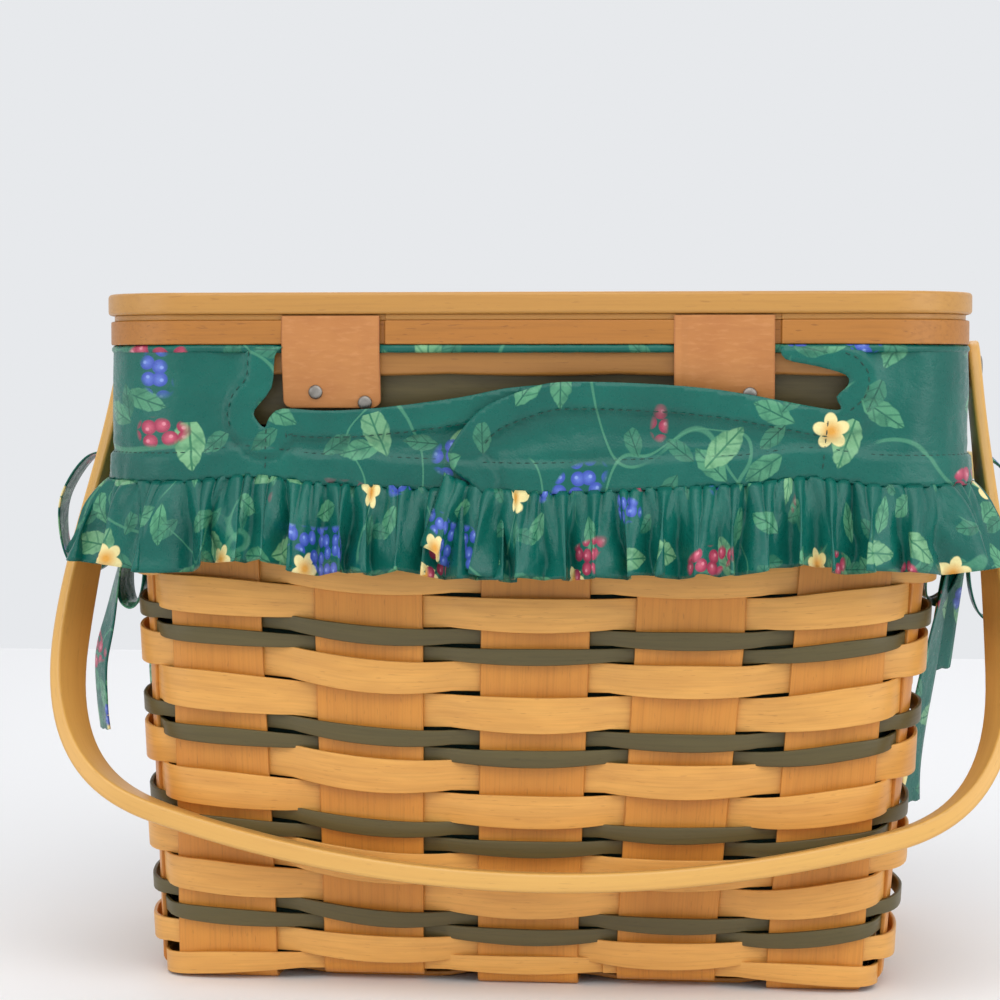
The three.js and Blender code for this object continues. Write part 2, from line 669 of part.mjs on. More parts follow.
// A ruffle gathered into the seam: its folds start flat and swing in and out at the hem
function ruffle(path) {
  const rows = [];
  let fold = 0;
  for (let k = 0; k < path.length - 1; k++) {
    const from = path[k];
    const to = path[k + 1];
    const a = wallPoint(from.name, from.run, bodyHeight, skirtOut);
    const b = wallPoint(to.name, to.run, bodyHeight, skirtOut);
    const steps = Math.max(1, Math.round(a.distanceTo(b) / (ruffleFoldPitch / 2)));
    const layerAt = (share) => from.layer + (to.layer - from.layer) * share;
    for (let step = 0; step < steps + (k === path.length - 2 ? 1 : 0); step++) {
      const share = step / steps;
      const wave = fold % 2 === 0 ? ruffleWave : -ruffleWave;
      const spot = (out, z) => {
        if (from.name === to.name) {
          return wallPoint(from.name, from.run + (to.run - from.run) * share, bodyHeight, out + layerAt(share), z);
        }
        const p = wallPoint(from.name, from.run, bodyHeight, out + layerAt(share), z);
        return p.lerp(wallPoint(to.name, to.run, bodyHeight, out + layerAt(share), z), share);
      };
      const top = seamZ - touchGap;
      const hem = top - ruffleHeight;
      const waist = top - ruffleHeight / 3;
      const waistOut = ruffleFlare / 2 + wave * 2 / 3;
      const hemOut = ruffleFlare + wave;
      rows.push([
        spot(skirtOut, top), spot(skirtOut + waistOut, waist), spot(skirtOut + hemOut, hem),
        spot(skirtIn + hemOut, hem), spot(skirtIn + waistOut, waist), spot(skirtIn, top),
      ]);
      fold++;
    }
  }
  return loft(rows, false);
}

addMesh('skirt_front_left', skirtBand(leftPath), cloth);
addMesh('skirt_front_right', skirtBand(rightPath), cloth);
addMesh('skirt_back', skirtBand(backPath), cloth);
addMesh('ruffle_front_left', ruffle([...leftPath.slice(0, -2),
  station('front', rightFlapEndX - ruffleFoldPitch / 3, leftTop)]), cloth);
addMesh('ruffle_front_right', ruffle(rightPath), cloth);
addMesh('ruffle_back', ruffle(backPath), cloth);

// Ribbon ties: a knot behind each handle arm with two loops and two hanging ends. The
// routes are shares of the reach outwards and of the fall from the knot.
const knotX = topHalfWidth + skirtOut + knotRadius + touchGap;
const knotZ = seamZ + knotRadius;
const reachLimit = knotX + ribbonReach;
function ribbon(route, sign) {
  const points = route.map(([outShare, fallShare, backShare]) => new THREE.Vector3(
    sign * (knotX + (reachLimit - knotX) * outShare), ribbonFall * backShare, knotZ - ribbonFall * fallShare));
  return loft(points.map((point, k) => {
    const before = points[Math.max(k - 1, 0)];
    const after = points[Math.min(k + 1, points.length - 1)];
    const tangent = after.clone().sub(before);
    const normal = new THREE.Vector3(-tangent.z, 0, tangent.x).normalize().multiplyScalar(ribbonThickness / 2);
    const across = new THREE.Vector3(0, ribbonWidth / 2, 0);
    return [point.clone().add(normal).sub(across), point.clone().add(normal).add(across),
      point.clone().sub(normal).add(across), point.clone().sub(normal).sub(across)];
  }), false);
}

const knotBackShare = 0.12;
const knotLengthShare = 2;
const upperLoopShares = [
  [0, 0, 0.09], [0.42, -0.02, 0.1], [0.82, 0.02, 0.12], [0.96, 0.1, 0.14], [0.9, 0.2, 0.15], [0.66, 0.2, 0.14],
  [0.4, 0.1, 0.12], [0.08, 0.02, 0.1],
];
const lowerLoopShares = [
  [0.05, 0, 0.14], [0.4, 0.06, 0.17], [0.72, 0.2, 0.22], [0.74, 0.32, 0.24], [0.52, 0.38, 0.24], [0.36, 0.28, 0.22],
  [0.3, 0.12, 0.18], [0.05, 0.02, 0.14],
];
const outerTailShares = [
  [0.05, 0, 0.1], [0.5, 0.1, 0.19], [0.56, 0.3, 0.3], [0.62, 0.55, 0.33], [0.74, 0.83, 0.33],
];
const innerTailShares = [
  [0.05, 0, 0.1], [0.34, 0.06, 0.13], [0.3, 0.3, 0.13], [0.02, 0.5, 0.14], [-0.16, 0.8, 0.15], [-0.2, 1, 0.15],
];
for (const [label, sign] of [['left', -1], ['right', 1]]) {
  const knot = new THREE.SphereGeometry(knotRadius, 8, 6);
  knot.scale(1, knotLengthShare, 1);
  knot.translate(sign * knotX, ribbonFall * knotBackShare, knotZ);
  const routes = [upperLoopShares, lowerLoopShares, outerTailShares, innerTailShares];
  addMesh(`tie_bow_${label}`, join(knot, ...routes.map((route) => ribbon(route, sign))), cloth);
}

export default basket;
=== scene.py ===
import bmesh
import math
import bpy
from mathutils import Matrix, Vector, noise
from mathutils.geometry import delaunay_2d_cdt


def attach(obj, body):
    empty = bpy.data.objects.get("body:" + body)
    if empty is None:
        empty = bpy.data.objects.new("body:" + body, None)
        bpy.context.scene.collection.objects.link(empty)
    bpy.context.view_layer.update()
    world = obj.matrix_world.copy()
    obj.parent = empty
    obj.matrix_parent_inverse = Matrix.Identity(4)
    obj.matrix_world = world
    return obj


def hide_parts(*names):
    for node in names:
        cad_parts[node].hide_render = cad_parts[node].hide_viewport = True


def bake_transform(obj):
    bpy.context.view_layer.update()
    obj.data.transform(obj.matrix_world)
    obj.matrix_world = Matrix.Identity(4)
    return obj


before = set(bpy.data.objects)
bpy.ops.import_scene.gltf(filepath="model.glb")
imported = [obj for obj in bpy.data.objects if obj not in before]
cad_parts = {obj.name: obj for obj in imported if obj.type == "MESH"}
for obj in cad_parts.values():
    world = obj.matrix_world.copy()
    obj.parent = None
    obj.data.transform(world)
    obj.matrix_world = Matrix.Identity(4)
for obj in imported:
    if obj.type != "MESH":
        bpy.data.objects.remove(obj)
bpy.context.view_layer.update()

# Camera. It stands level with the rim, a little to the right of the middle, and looks
# slightly down and to the left at the hinge side.
def shown(name, data):
    """A new object of the scene."""
    thing = bpy.data.objects.new(name, data)
    bpy.context.scene.collection.objects.link(thing)
    return thing


camera = shown("camera", bpy.data.cameras.new("camera"))
looks_down, looks_left = 2.93, 5.71
camera.data.sensor_width = 36
camera.data.lens = 91.15
camera.data.clip_end = 20
camera.location = (0.0676, -0.8419, 0.1897)
camera.rotation_euler = (math.radians(90 - looks_down), 0, math.radians(looks_left))
bpy.context.scene.camera = camera
bpy.context.scene.view_settings.view_transform = "Standard"


# Studio. A pale table ends behind the basket, and a plain pale wall of light is behind it.
# One wide soft lamp hangs above and in front, with a weaker one on each side.
def linear(red, green, blue):
    """A colour as a screen shows it, 0 to 255, turned into the values that light adds up in."""
    def one(value):
        value /= 255
        return value / 12.92 if value <= 0.04045 else ((value + 0.055) / 1.055) ** 2.4
    return (one(red), one(green), one(blue), 1)


def add(tree, kind, settings=None, **sockets):
    """A node with its settings made and its sockets set or linked."""
    node = tree.nodes.new(kind)
    for key, value in (settings or {}).items():
        setattr(node, key, value)
    for key, value in sockets.items():
        socket = node.inputs[key.replace("_", " ")]
        value = getattr(value, "socket", value)
        if isinstance(value, bpy.types.NodeSocket):
            tree.links.new(value, socket)
        else:
            socket.default_value = value
    return node


world = bpy.data.worlds.new("studio")
bpy.context.scene.world = world
world.use_nodes = True
world.node_tree.nodes.clear()
ray = add(world.node_tree, "ShaderNodeLightPath")
seen = add(world.node_tree, "ShaderNodeMath", {"operation": "ADD"})
seen_or_glass = add(world.node_tree, "ShaderNodeMath", {"operation": "ADD", "use_clamp": True})
world.node_tree.links.new(ray.outputs["Is Camera Ray"], seen.inputs[0])
world.node_tree.links.new(ray.outputs["Is Glossy Ray"], seen.inputs[1])
world.node_tree.links.new(seen.outputs[0], seen_or_glass.inputs[0])
world.node_tree.links.new(ray.outputs["Is Transmission Ray"], seen_or_glass.inputs[1])
room_light = add(world.node_tree, "ShaderNodeBackground", Color=(0.97, 0.985, 1, 1), Strength=0.68)
pale_wall = add(world.node_tree, "ShaderNodeBackground", Color=linear(231, 233, 236), Strength=1)
either = add(world.node_tree, "ShaderNodeMixShader", Fac=seen_or_glass.outputs[0])
world.node_tree.links.new(room_light.outputs[0], either.inputs[1])
world.node_tree.links.new(pale_wall.outputs[0], either.inputs[2])
add(world.node_tree, "ShaderNodeOutputWorld", Surface=either.outputs[0])


def bare_finish(name, place="UV"):
    """A new material, with its nodes, its shader and where its texture lies."""
    finish = bpy.data.materials.new(name)
    finish.use_nodes = True
    tree = finish.node_tree
    return finish, tree, tree.nodes["Principled BSDF"], add(tree, "ShaderNodeTexCoord").outputs[place]


table_finish, _, shader, _ = bare_finish("pale_table")
shader.inputs["Base Color"].default_value = linear(240, 240, 242)
shader.inputs["Roughness"].default_value = 0.6
table_half, table_back = 4, 0.84
table_corners = [(-table_half, -table_half, 0), (table_half, -table_half, 0), (table_half, table_back, 0),
                 (-table_half, table_back, 0)]
table_mesh = bpy.data.meshes.new("table")
table_mesh.from_pydata(table_corners, [], [(0, 1, 2, 3)])
table_mesh.materials.append(table_finish)
table = shown("table", table_mesh)

aim = Vector((0, 0, 0.1))
for lamp_name, place, size, watts, tint in (
        ("lamp_above", (0.08, -0.85, 1.35), 1.5, 11, (1, 0.985, 0.96)),
        ("lamp_left", (-1.3, -0.9, 0.5), 0.9, 3.4, (0.98, 0.99, 1)),
        ("lamp_right", (1.3, -0.8, 0.6), 1.0, 5.8, (0.98, 0.99, 1)),
        ("lamp_behind", (0, 1.4, 1.2), 1.2, 5, (1, 1, 1))):
    lamp = shown(lamp_name, bpy.data.lights.new(lamp_name, "AREA"))
    lamp.data.size = size
    lamp.data.energy = watts
    lamp.data.color = tint
    lamp.location = place
    lamp.rotation_euler = (aim - Vector(place)).to_track_quat("-Z", "Y").to_euler()

# Upright splints. Eight wide splints of ash stand at the sides, run under the floor, where
# they pass over and under each other, and come up again on the other side. They carry the
# whole weave. All sizes of the weave are in millimetres, as splints are sold.
MM = 0.001
body_height = 197
top_half_width = 125.2
top_half_depth = 80
wall_lean = 10.4
foot_corner, top_corner = 9, 24
lean_to_left = 2.4
drawn_in_foot, drawn_in_below = 5.2, 160
corner_gap = 7.5
upright_thickness, upright_top, upright_stock = 1.5, 196.4, 31.75
foot_bend = 3.2
sides = {"front": 5, "right": 3, "back": 5, "left": 3}
uprights_round = sum(sides.values())
side_turns = {"front": -math.pi / 2, "right": 0, "back": math.pi / 2, "left": math.pi}


def eased(share):
    """A soft step from 0 to 1."""
    share = min(max(share, 0), 1)
    return share * share * (3 - 2 * share)


def between(one, other, share):
    """The place of a share of the way from one point to another."""
    return tuple(a + (b - a) * share for a, b in zip(one, other))


def halves(side, z):
    """Half the length of a side and its distance from the middle, at a height."""
    lean = wall_lean * (1 - z / body_height)
    along, across = top_half_width - lean, top_half_depth - lean
    return (along, across) if side in ("front", "back") else (across, along)


def corner_at(z):
    """The radius of the body's corners at a height."""
    return foot_corner + (top_corner - foot_corner) * max(z / body_height, 0) ** 0.6


def stance(across, z):
    """The body is a little crooked: its foot stands to the left, and is drawn in on the right."""
    drawn_in = drawn_in_foot * max(1 - z / drawn_in_below, 0) * (max(across, 0) / 115) ** 2
    return across - lean_to_left * (1 - z / body_height) - drawn_in


def on_wall(side, run, z, out):
    """A point of the wall's middle surface, moved out. The corners are tight at the foot and
    rounder at the rim."""
    along, across = halves(side, z)
    radius = corner_at(z)
    flat = along - radius
    past = abs(run) - flat
    x, y, turn = run, across, 0
    if past > 0:
        turn = min(past / radius, math.pi / 2)
        x = math.copysign(flat + radius * math.sin(turn), run)
        y = across - radius + radius * math.cos(turn) - max(past - radius * math.pi / 2, 0)
    x += math.copysign(1, run) * math.sin(turn) * out
    y += math.cos(turn) * out
    cos, sin = math.cos(side_turns[side]), math.sin(side_turns[side])
    return (stance(y * cos - x * sin, z), y * sin + x * cos, z)


def up_the_wall(z):
    """0 at the lowest rows and 1 from the middle of the wall on."""
    return min(max((z - 16) / 91, 0), 1)


def upright_width(side, index, z):
    """They widen upwards, apart from the outer two of the front, which bend round the corner."""
    return 31.2 + (-2.6 if side == "front" and index in (0, 4) else 2.2) * up_the_wall(z)


def upright_run(side, index, z):
    """Where the middle of an upright stands along its side. Two in front stand off a little."""
    radius = corner_at(z)
    outer = halves(side, z)[0] - radius + (radius * math.pi / 2 - corner_gap) / 2
    steps = (sides[side] - 1) / 2
    low, high = {("front", 0): (0.5, 0.8), ("front", 2): (1.4, 2.85), ("front", 3): (-1.8, 1.9),
                 ("front", 4): (-0.5, -0.4)}.get((side, index), (0, 0))
    off = low + (high - low) * up_the_wall(z)
    return (index - steps) * (outer - upright_stock / 2) / steps + off


def lengths(points):
    """How far along a line of points each one lies."""
    total = [0]
    for here, there in zip(points, points[1:]):
        total.append(total[-1] + math.dist(here, there))
    return total


def metres(points):
    """Points given in millimetres, in the metres of the scene."""
    return [[c * MM for c in p] for p in points]


def grid_faces(count, across, closed=False):
    """The faces between rows of points. Closed, the last row joins the first."""
    faces = []
    for i in range(count if closed else count - 1):
        here, there = i * across, (i + 1) % count * across
        faces += [(here + k, here + k + 1, there + k + 1, there + k) for k in range(across - 1)]
    return faces


def smooth_mesh(name, points, faces, finish):
    """A smoothly shaded mesh of points in millimetres, with its finish."""
    mesh = bpy.data.meshes.new(name)
    mesh.from_pydata(metres(points), [], faces)
    mesh.materials.append(finish)
    mesh.shade_smooth()
    return mesh


def lay_flat(mesh, places):
    """The UV map, in real metres: where each point of the mesh lies on the flat piece."""
    uv = mesh.uv_layers.new(name="UVMap").data
    for loop in mesh.loops:
        uv[loop.index].uv = places[loop.vertex_index]


def sheet_of(name, rows, finish, start=(0, 0)):
    """A thin surface through rows of points in millimetres. Its UV map holds real metres,
    along and across, and its edge attribute is 1 along the two long edges."""
    count, across = len(rows), len(rows[0])
    mesh = smooth_mesh(name, [p for row in rows for p in row], grid_faces(count, across), finish)
    long = lengths([row[across // 2] for row in rows])
    wide = lengths(rows[0])
    lay_flat(mesh, [(start[0] + a * MM, start[1] + b * MM) for a in long for b in wide])
    edge = mesh.attributes.new("edge", "FLOAT", "POINT").data
    for i in range(count):
        for k in range(across):
            edge[i * across + k].value = 1 if k in (0, across - 1) else 0
    return shown(name, mesh)


def walled(piece, thickness):
    """Gives a surface its thickness, half to each side."""
    wall = piece.modifiers.new("thickness", "SOLIDIFY")
    wall.thickness = thickness * MM
    wall.offset = 0
    return wall


def rounded(piece, width, segments, from_angle):
    """Rounds over the edges of a piece that are sharper than an angle."""
    bevel = piece.modifiers.new("round_over", "BEVEL")
    bevel.width = width * MM
    bevel.segments = segments
    bevel.limit_method = "ANGLE"
    bevel.angle_limit = math.radians(from_angle)
    piece.modifiers.new("soft_edges", "WEIGHTED_NORMAL").keep_sharp = False


def thicken(piece, thickness, round_over, segments=2):
    """Turns a surface into a strip of a thickness, with its edges rounded over."""
    walled(piece, thickness).use_even_offset = True
    rounded(piece, round_over, segments, 50)


class Amount:
    """A number that Math nodes of a material or of a shape work out."""

    def __init__(self, tree, socket):
        self.tree, self.socket = tree, socket

    def calc(self, operation, *others, clamp=False):
        node = self.tree.nodes.new("ShaderNodeMath")
        node.operation = operation
        node.use_clamp = clamp
        for socket, value in zip(node.inputs, (self, *others)):
            if isinstance(value, Amount):
                self.tree.links.new(value.socket, socket)
            else:
                socket.default_value = value
        return Amount(self.tree, node.outputs[0])

    def __add__(self, other):
        return self.calc("ADD", other)

    def __sub__(self, other):
        return self.calc("SUBTRACT", other)

    def __mul__(self, other):
        return self.calc("MULTIPLY", other)

    def over(self, edge, soft):
        """0 below the edge and 1 above it, with a soft step."""
        return (self - edge).calc("DIVIDE", soft).calc("ADD", 0.5, clamp=True)


def speckle(tree, place, stretch, detail=3, shift=0, rough=0.5):
    """Noise that is stretched along the grain: place is a vector socket in metres."""
    spread = add(tree, "ShaderNodeMapping", Vector=place, Scale=stretch,
                 Location=(shift, shift * 1.7, shift * 0.6))
    grain = add(tree, "ShaderNodeTexNoise", Vector=spread.outputs[0], Scale=1, Detail=detail, Roughness=rough)
    return Amount(tree, grain.outputs[0])


def blend_colours(tree, amount, first, second):
    """A colour that goes from the first to the second as the amount goes from 0 to 1."""
    mix = tree.nodes.new("ShaderNodeMix")
    mix.data_type = "RGBA"
    for index, value in ((0, amount), (6, first), (7, second)):
        value = getattr(value, "socket", value)
        if isinstance(value, bpy.types.NodeSocket):
            tree.links.new(value, mix.inputs[index])
        else:
            mix.inputs[index].default_value = value
    return mix.outputs[2]


def dress(tree, shader, colour, polish, relief, strength, depth):
    """Gives a shader its colour, its roughness and its fine relief."""
    tree.links.new(colour, shader.inputs["Base Color"])
    tree.links.new(polish.socket, shader.inputs["Roughness"])
    bump = add(tree, "ShaderNodeBump", Height=relief, Strength=strength, Distance=depth)
    tree.links.new(bump.outputs[0], shader.inputs["Normal"])


def edge_of(tree):
    """1 along the long edges of a piece and 0 on the rest."""
    return Amount(tree, add(tree, "ShaderNodeAttribute", {"attribute_name": "edge"}).outputs["Fac"])


def splint_finish(name, pale, deep, dark, along=(9, 330, 1), use_map=True, rough=0.46, coat=0.1, streak=1):
    """Lacquered hardwood: long soft streaks, fine hairs, a few short dark pores, slow changes
    of tone and darker worn edges. along is how tight the streaks are, along and across."""
    finish, tree, shader, where = bare_finish(name, "UV" if use_map else "Object")
    streaks = speckle(tree, where, along, 3, 0.3, 0.55)
    hairs = speckle(tree, where, tuple(value * 4.2 for value in along), 2, 5.1)
    pores = speckle(tree, where, (along[0] * 26, along[1] * 6.5, along[2] * 6.5), 1, 9.7)
    tone = speckle(tree, where, tuple(min(value * 0.9, 26) for value in along), 2, 2.2)
    colour = blend_colours(tree, streaks.over(0.5, 0.9), deep, pale)
    colour = blend_colours(tree, tone.over(0.52, 0.5) * 0.5, colour, deep)
    colour = blend_colours(tree, hairs.over(0.62, 0.3) * (0.22 * streak), colour, dark)
    colour = blend_colours(tree, pores.over(0.72, 0.08) * (0.35 * streak), colour, dark)
    if use_map:
        smudge = speckle(tree, where, (60, 400, 1), 2, 4.4)
        worn = edge_of(tree).over(0.93, 0.16) * smudge.over(0.45, 0.4)
        colour = blend_colours(tree, worn * 0.4, colour, dark)
    shader.inputs["Coat Weight"].default_value = coat
    shader.inputs["Coat Roughness"].default_value = 0.3
    relief = hairs * 0.5 + streaks * 0.9 - pores.over(0.72, 0.08) * 0.5
    dress(tree, shader, colour, hairs * 0.16 + (rough - 0.08), relief, 0.3, 0.0002)
    return finish


upright_finish = splint_finish("amber_ash_splint", linear(222, 151, 58), linear(204, 131, 46),
                               linear(144, 84, 28))


def upright_rows(start, end, index, cross_ends):
    """Rows of points down one wall, across the floor and up the opposite wall."""
    other = sides[end] - 1 - index
    low, high = upright_thickness / 2, upright_thickness * 1.5 + 0.3
    edges = [k / 8 - 0.5 for k in range(9)]

    def wall(side, order, mirror, level):
        def across(z, out):
            middle = upright_run(side, order, z)
            width = upright_width(side, order, z)
            return [on_wall(side, middle + (-edge if mirror else edge) * width, z, out) for edge in edges]

        rows = []
        foot = level + foot_bend
        for k in range(45):
            z = upright_top - (upright_top - foot) * k / 44
            rows.append(across(z, 0.35 * noise.noise((z * 0.03, index * 7.1, order * 3.3)) * 0.6))
        for turn in (0.3, 0.6, 0.9, 1.2, math.pi / 2):
            rows.append([(x, y, foot - foot_bend * math.sin(turn))
                         for x, y, _ in across(foot, foot_bend * math.cos(turn) - foot_bend)])
        return rows

    def level_at(j):
        return low if ((index + j) % 2 == 0) == (start == "front") else high

    first = wall(start, index, False, level_at(0))
    last = wall(end, other, True, level_at(len(cross_ends) - 1))
    floor = []
    half = upright_width(start, index, 0) / 2
    for step in range(1, 60):
        share = step / 60
        row = []
        for a, b in zip(first[-1], last[-1]):
            x, y = between(a[:2], b[:2], share)
            spot = y if start == "front" else -x
            z = level_at(len(cross_ends) - 1)
            for j in range(len(cross_ends)):
                if spot < cross_ends[j] + half:
                    z = level_at(j)
                    break
                if j + 1 < len(cross_ends) and spot < cross_ends[j + 1] - half:
                    gap_start = cross_ends[j] + half
                    rise = (spot - gap_start) / (cross_ends[j + 1] - half - gap_start)
                    z = level_at(j) + (level_at(j + 1) - level_at(j)) * eased(rise)
                    break
            row.append((x, y, z))
        floor.append(row)
    return first + floor + last[::-1]


long_places = [upright_run("front", k, 0) for k in range(5)]
cross_places = [upright_run("right", k, 0) for k in range(3)]
for kind, start, end, count, crossings in (("long", "front", "back", 5, cross_places),
                                           ("cross", "right", "left", 3, long_places)):
    for index in range(count):
        splint = sheet_of(f"splint_{kind}_{index + 1}", upright_rows(start, end, index, crossings),
                          upright_finish, (index * 1.37 + count, index * 0.61))
        thicken(splint, upright_thickness, 0.35)
        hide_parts(f"upright_{kind}_{index + 1}")
        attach(splint, "basket")

# Weavers. Rows of bent splint pass outside one upright and inside the next, in pairs that
# swap: two wide honey coloured rows, then two thin olive stained ones, up to the top band.
# Each row is one splint whose end tucks in behind its start, most of them at the back.
weave_finish = splint_finish("honey_splint", linear(240, 182, 94), linear(224, 160, 76), linear(160, 102, 42))
olive_finish = splint_finish("olive_splint", linear(103, 91, 49), linear(82, 72, 37), linear(52, 44, 22),
                             coat=0.04)


def tree_with(name, sizes):
    """A Geometry Nodes tree with a named input for each size and for the finish."""
    tree = bpy.data.node_groups.new(name, "GeometryNodeTree")
    tree.interface.new_socket("Geometry", in_out="INPUT", socket_type="NodeSocketGeometry")
    for size, value in sizes.items():
        socket = tree.interface.new_socket(size, in_out="INPUT", socket_type="NodeSocketFloat")
        socket.default_value = value
    tree.interface.new_socket("Finish", in_out="INPUT", socket_type="NodeSocketMaterial")
    tree.interface.new_socket("Geometry", in_out="OUTPUT", socket_type="NodeSocketGeometry")
    return tree, tree.nodes.new("NodeGroupInput")


def end_tree(tree, given, geometry):
    """Makes the tree's instances real and gives them their finish."""
    real = add(tree, "GeometryNodeRealizeInstances", Geometry=geometry)
    done = add(tree, "GeometryNodeSetMaterial", Geometry=real.outputs[0], Material=given.outputs["Finish"])
    tree.links.new(done.outputs[0], tree.nodes.new("NodeGroupOutput").inputs[0])


def marked(tree, geometry, name, value, kind="FLOAT", domain="POINT"):
    """The geometry with a named value stored on it."""
    return add(tree, "GeometryNodeStoreNamedAttribute", {"data_type": kind, "domain": domain},
               Geometry=geometry, Name=name, Value=value).outputs[0]


def mark(tree, name, kind="FLOAT"):
    """A named value that was stored on the geometry."""
    socket = add(tree, "GeometryNodeInputNamedAttribute", {"data_type": kind}, Name=name).outputs[0]
    return Amount(tree, socket) if kind == "FLOAT" else socket


def arrow(tree, x=0, y=0, z=0):
    """A vector from three numbers."""
    return add(tree, "ShaderNodeCombineXYZ", X=x, Y=y, Z=z).outputs[0]


def scaled(tree, vector, amount):
    """A vector made longer or shorter."""
    return add(tree, "ShaderNodeVectorMath", {"operation": "SCALE"}, Vector=vector, Scale=amount).outputs[0]


def summed(tree, one, two):
    """Two vectors added."""
    node = add(tree, "ShaderNodeVectorMath", {"operation": "ADD"})
    tree.links.new(one, node.inputs[0])
    tree.links.new(two, node.inputs[1])
    return node.outputs[0]


def chance(tree, x, y, z=0):
    """Smooth noise about 0, from three numbers."""
    grain = add(tree, "ShaderNodeTexNoise", Vector=arrow(tree, x, y, z), Scale=1, Detail=1)
    return Amount(tree, grain.outputs[0]) - 0.5


# A splint bent along a path: it bulges over every second upright and dives behind the others.
splint_tree, given = tree_with("bent_splint", {
    "Row Width": 0.0127, "Thickness": 0.0012, "Edge Radius": 0.0003, "Bulge": 0.0039, "Dive": 0.0023,
    "First Side": 1, "Sag": 0.0006, "Pinch": 0.0011, "Unevenness": 0.0006,
    "Wall Lean": wall_lean / body_height, "Seed": 0})
tree = splint_tree
size_of = {socket.name: Amount(tree, socket) for socket in given.outputs
           if socket.name not in ("Geometry", "Finish", "")}
turn = mark(tree, "turn")
wave = (turn * math.pi).calc("COSINE") * size_of["First Side"]
over = wave.calc("MAXIMUM", 0).calc("POWER", 0.8)
under = (wave * -1).calc("MAXIMUM", 0).calc("POWER", 0.8)
bulge = size_of["Bulge"] * (chance(tree, turn * 0.9, size_of["Seed"] * 3.1) * 0.7 + 1)
out = over * bulge - under * size_of["Dive"]
rise = chance(tree, turn * 0.8, size_of["Seed"] * 1.7, 8) * size_of["Unevenness"] * 2 - over * size_of["Sag"]
outwards = scaled(tree, mark(tree, "outward", "FLOAT_VECTOR"), out)
moved = add(tree, "GeometryNodeSetPosition", Geometry=given.outputs["Geometry"],
            Offset=summed(tree, outwards, arrow(tree, z=rise)))
course = add(tree, "GeometryNodeMeshToCurve", Mesh=moved.outputs[0]).outputs[0]
course = marked(tree, course, "along", add(tree, "GeometryNodeSplineParameter").outputs["Length"])
position = add(tree, "ShaderNodeSeparateXYZ", Vector=add(tree, "GeometryNodeInputPosition").outputs[0])
course = marked(tree, course, "level", position.outputs["Z"])
course = marked(tree, course, "crossing", (wave.calc("ABSOLUTE") * -1) + 1)
course = add(tree, "GeometryNodeSetCurveNormal", {"mode": "Z_UP"}, Curve=course).outputs[0]
section = add(tree, "GeometryNodeCurvePrimitiveQuadrilateral", Width=size_of["Thickness"],
              Height=size_of["Row Width"]).outputs[0]
section = add(tree, "GeometryNodeFilletCurve", {"mode": "POLY"}, Curve=section, Count=3,
              Radius=size_of["Edge Radius"]).outputs[0]
section = marked(tree, section, "depth", position.outputs["X"])
swept = add(tree, "GeometryNodeCurveToMesh", Curve=course, Profile_Curve=section, Fill_Caps=True).outputs[0]
height = Amount(tree, position.outputs["Z"]) - mark(tree, "level")
swept = marked(tree, swept, "edge", (height * 2).calc("ABSOLUTE").calc("DIVIDE", size_of["Row Width"]))
map_place = arrow(tree, mark(tree, "along") + size_of["Seed"] * 0.31,
                  height + mark(tree, "depth") + size_of["Seed"] * 0.047)
swept = marked(tree, swept, "UVMap", map_place, "FLOAT2", "CORNER")
slope = scaled(tree, mark(tree, "outward", "FLOAT_VECTOR"), height * size_of["Wall Lean"])
pinched = mark(tree, "crossing") * size_of["Pinch"].calc("DIVIDE", size_of["Row Width"])
narrowed = arrow(tree, z=height * (mark(tree, "narrow") - 1 - pinched))
swept = add(tree, "GeometryNodeSetPosition", Geometry=swept, Offset=summed(tree, slope, narrowed)).outputs[0]
end_tree(tree, given, add(tree, "GeometryNodeSetShadeSmooth", Geometry=swept).outputs[0])


def path_mesh(name, points, **marks):
    """A line of points in millimetres, with a value or a direction marked on each."""
    mesh = bpy.data.meshes.new(name)
    mesh.from_pydata(metres(points), [(k, k + 1) for k in range(len(points) - 1)], [])
    for key, values in marks.items():
        if isinstance(values[0], (int, float)):
            mesh.attributes.new(key, "FLOAT", "POINT").data.foreach_set("value", values)
        else:
            flat = [c for v in values for c in v]
            mesh.attributes.new(key, "FLOAT_VECTOR", "POINT").data.foreach_set("vector", flat)
    return mesh


def shaped(name, path, tree, finish, **sizes):
    """The plain mesh that a tree makes of a path, with its faces turned outwards."""
    piece = shown(name, path)
    maker = piece.modifiers.new("maker", "NODES")
    maker.node_group = tree
    for item in tree.interface.items_tree:
        key = item.name.lower().replace(" ", "_")
        if item.in_out == "INPUT" and key in sizes:
            maker[item.identifier] = float(sizes[key])
        if item.in_out == "INPUT" and item.name == "Finish":
            maker[item.identifier] = finish
    solid = bpy.data.meshes.new_from_object(piece.evaluated_get(bpy.context.evaluated_depsgraph_get()))
    piece.modifiers.clear()
    shell = bmesh.new()
    shell.from_mesh(solid)
    if shell.calc_volume(signed=True) < 0:
        bmesh.ops.reverse_faces(shell, faces=shell.faces)
    shell.to_mesh(solid)
    shell.free()
    solid.name = name
    piece.data = solid
    return piece


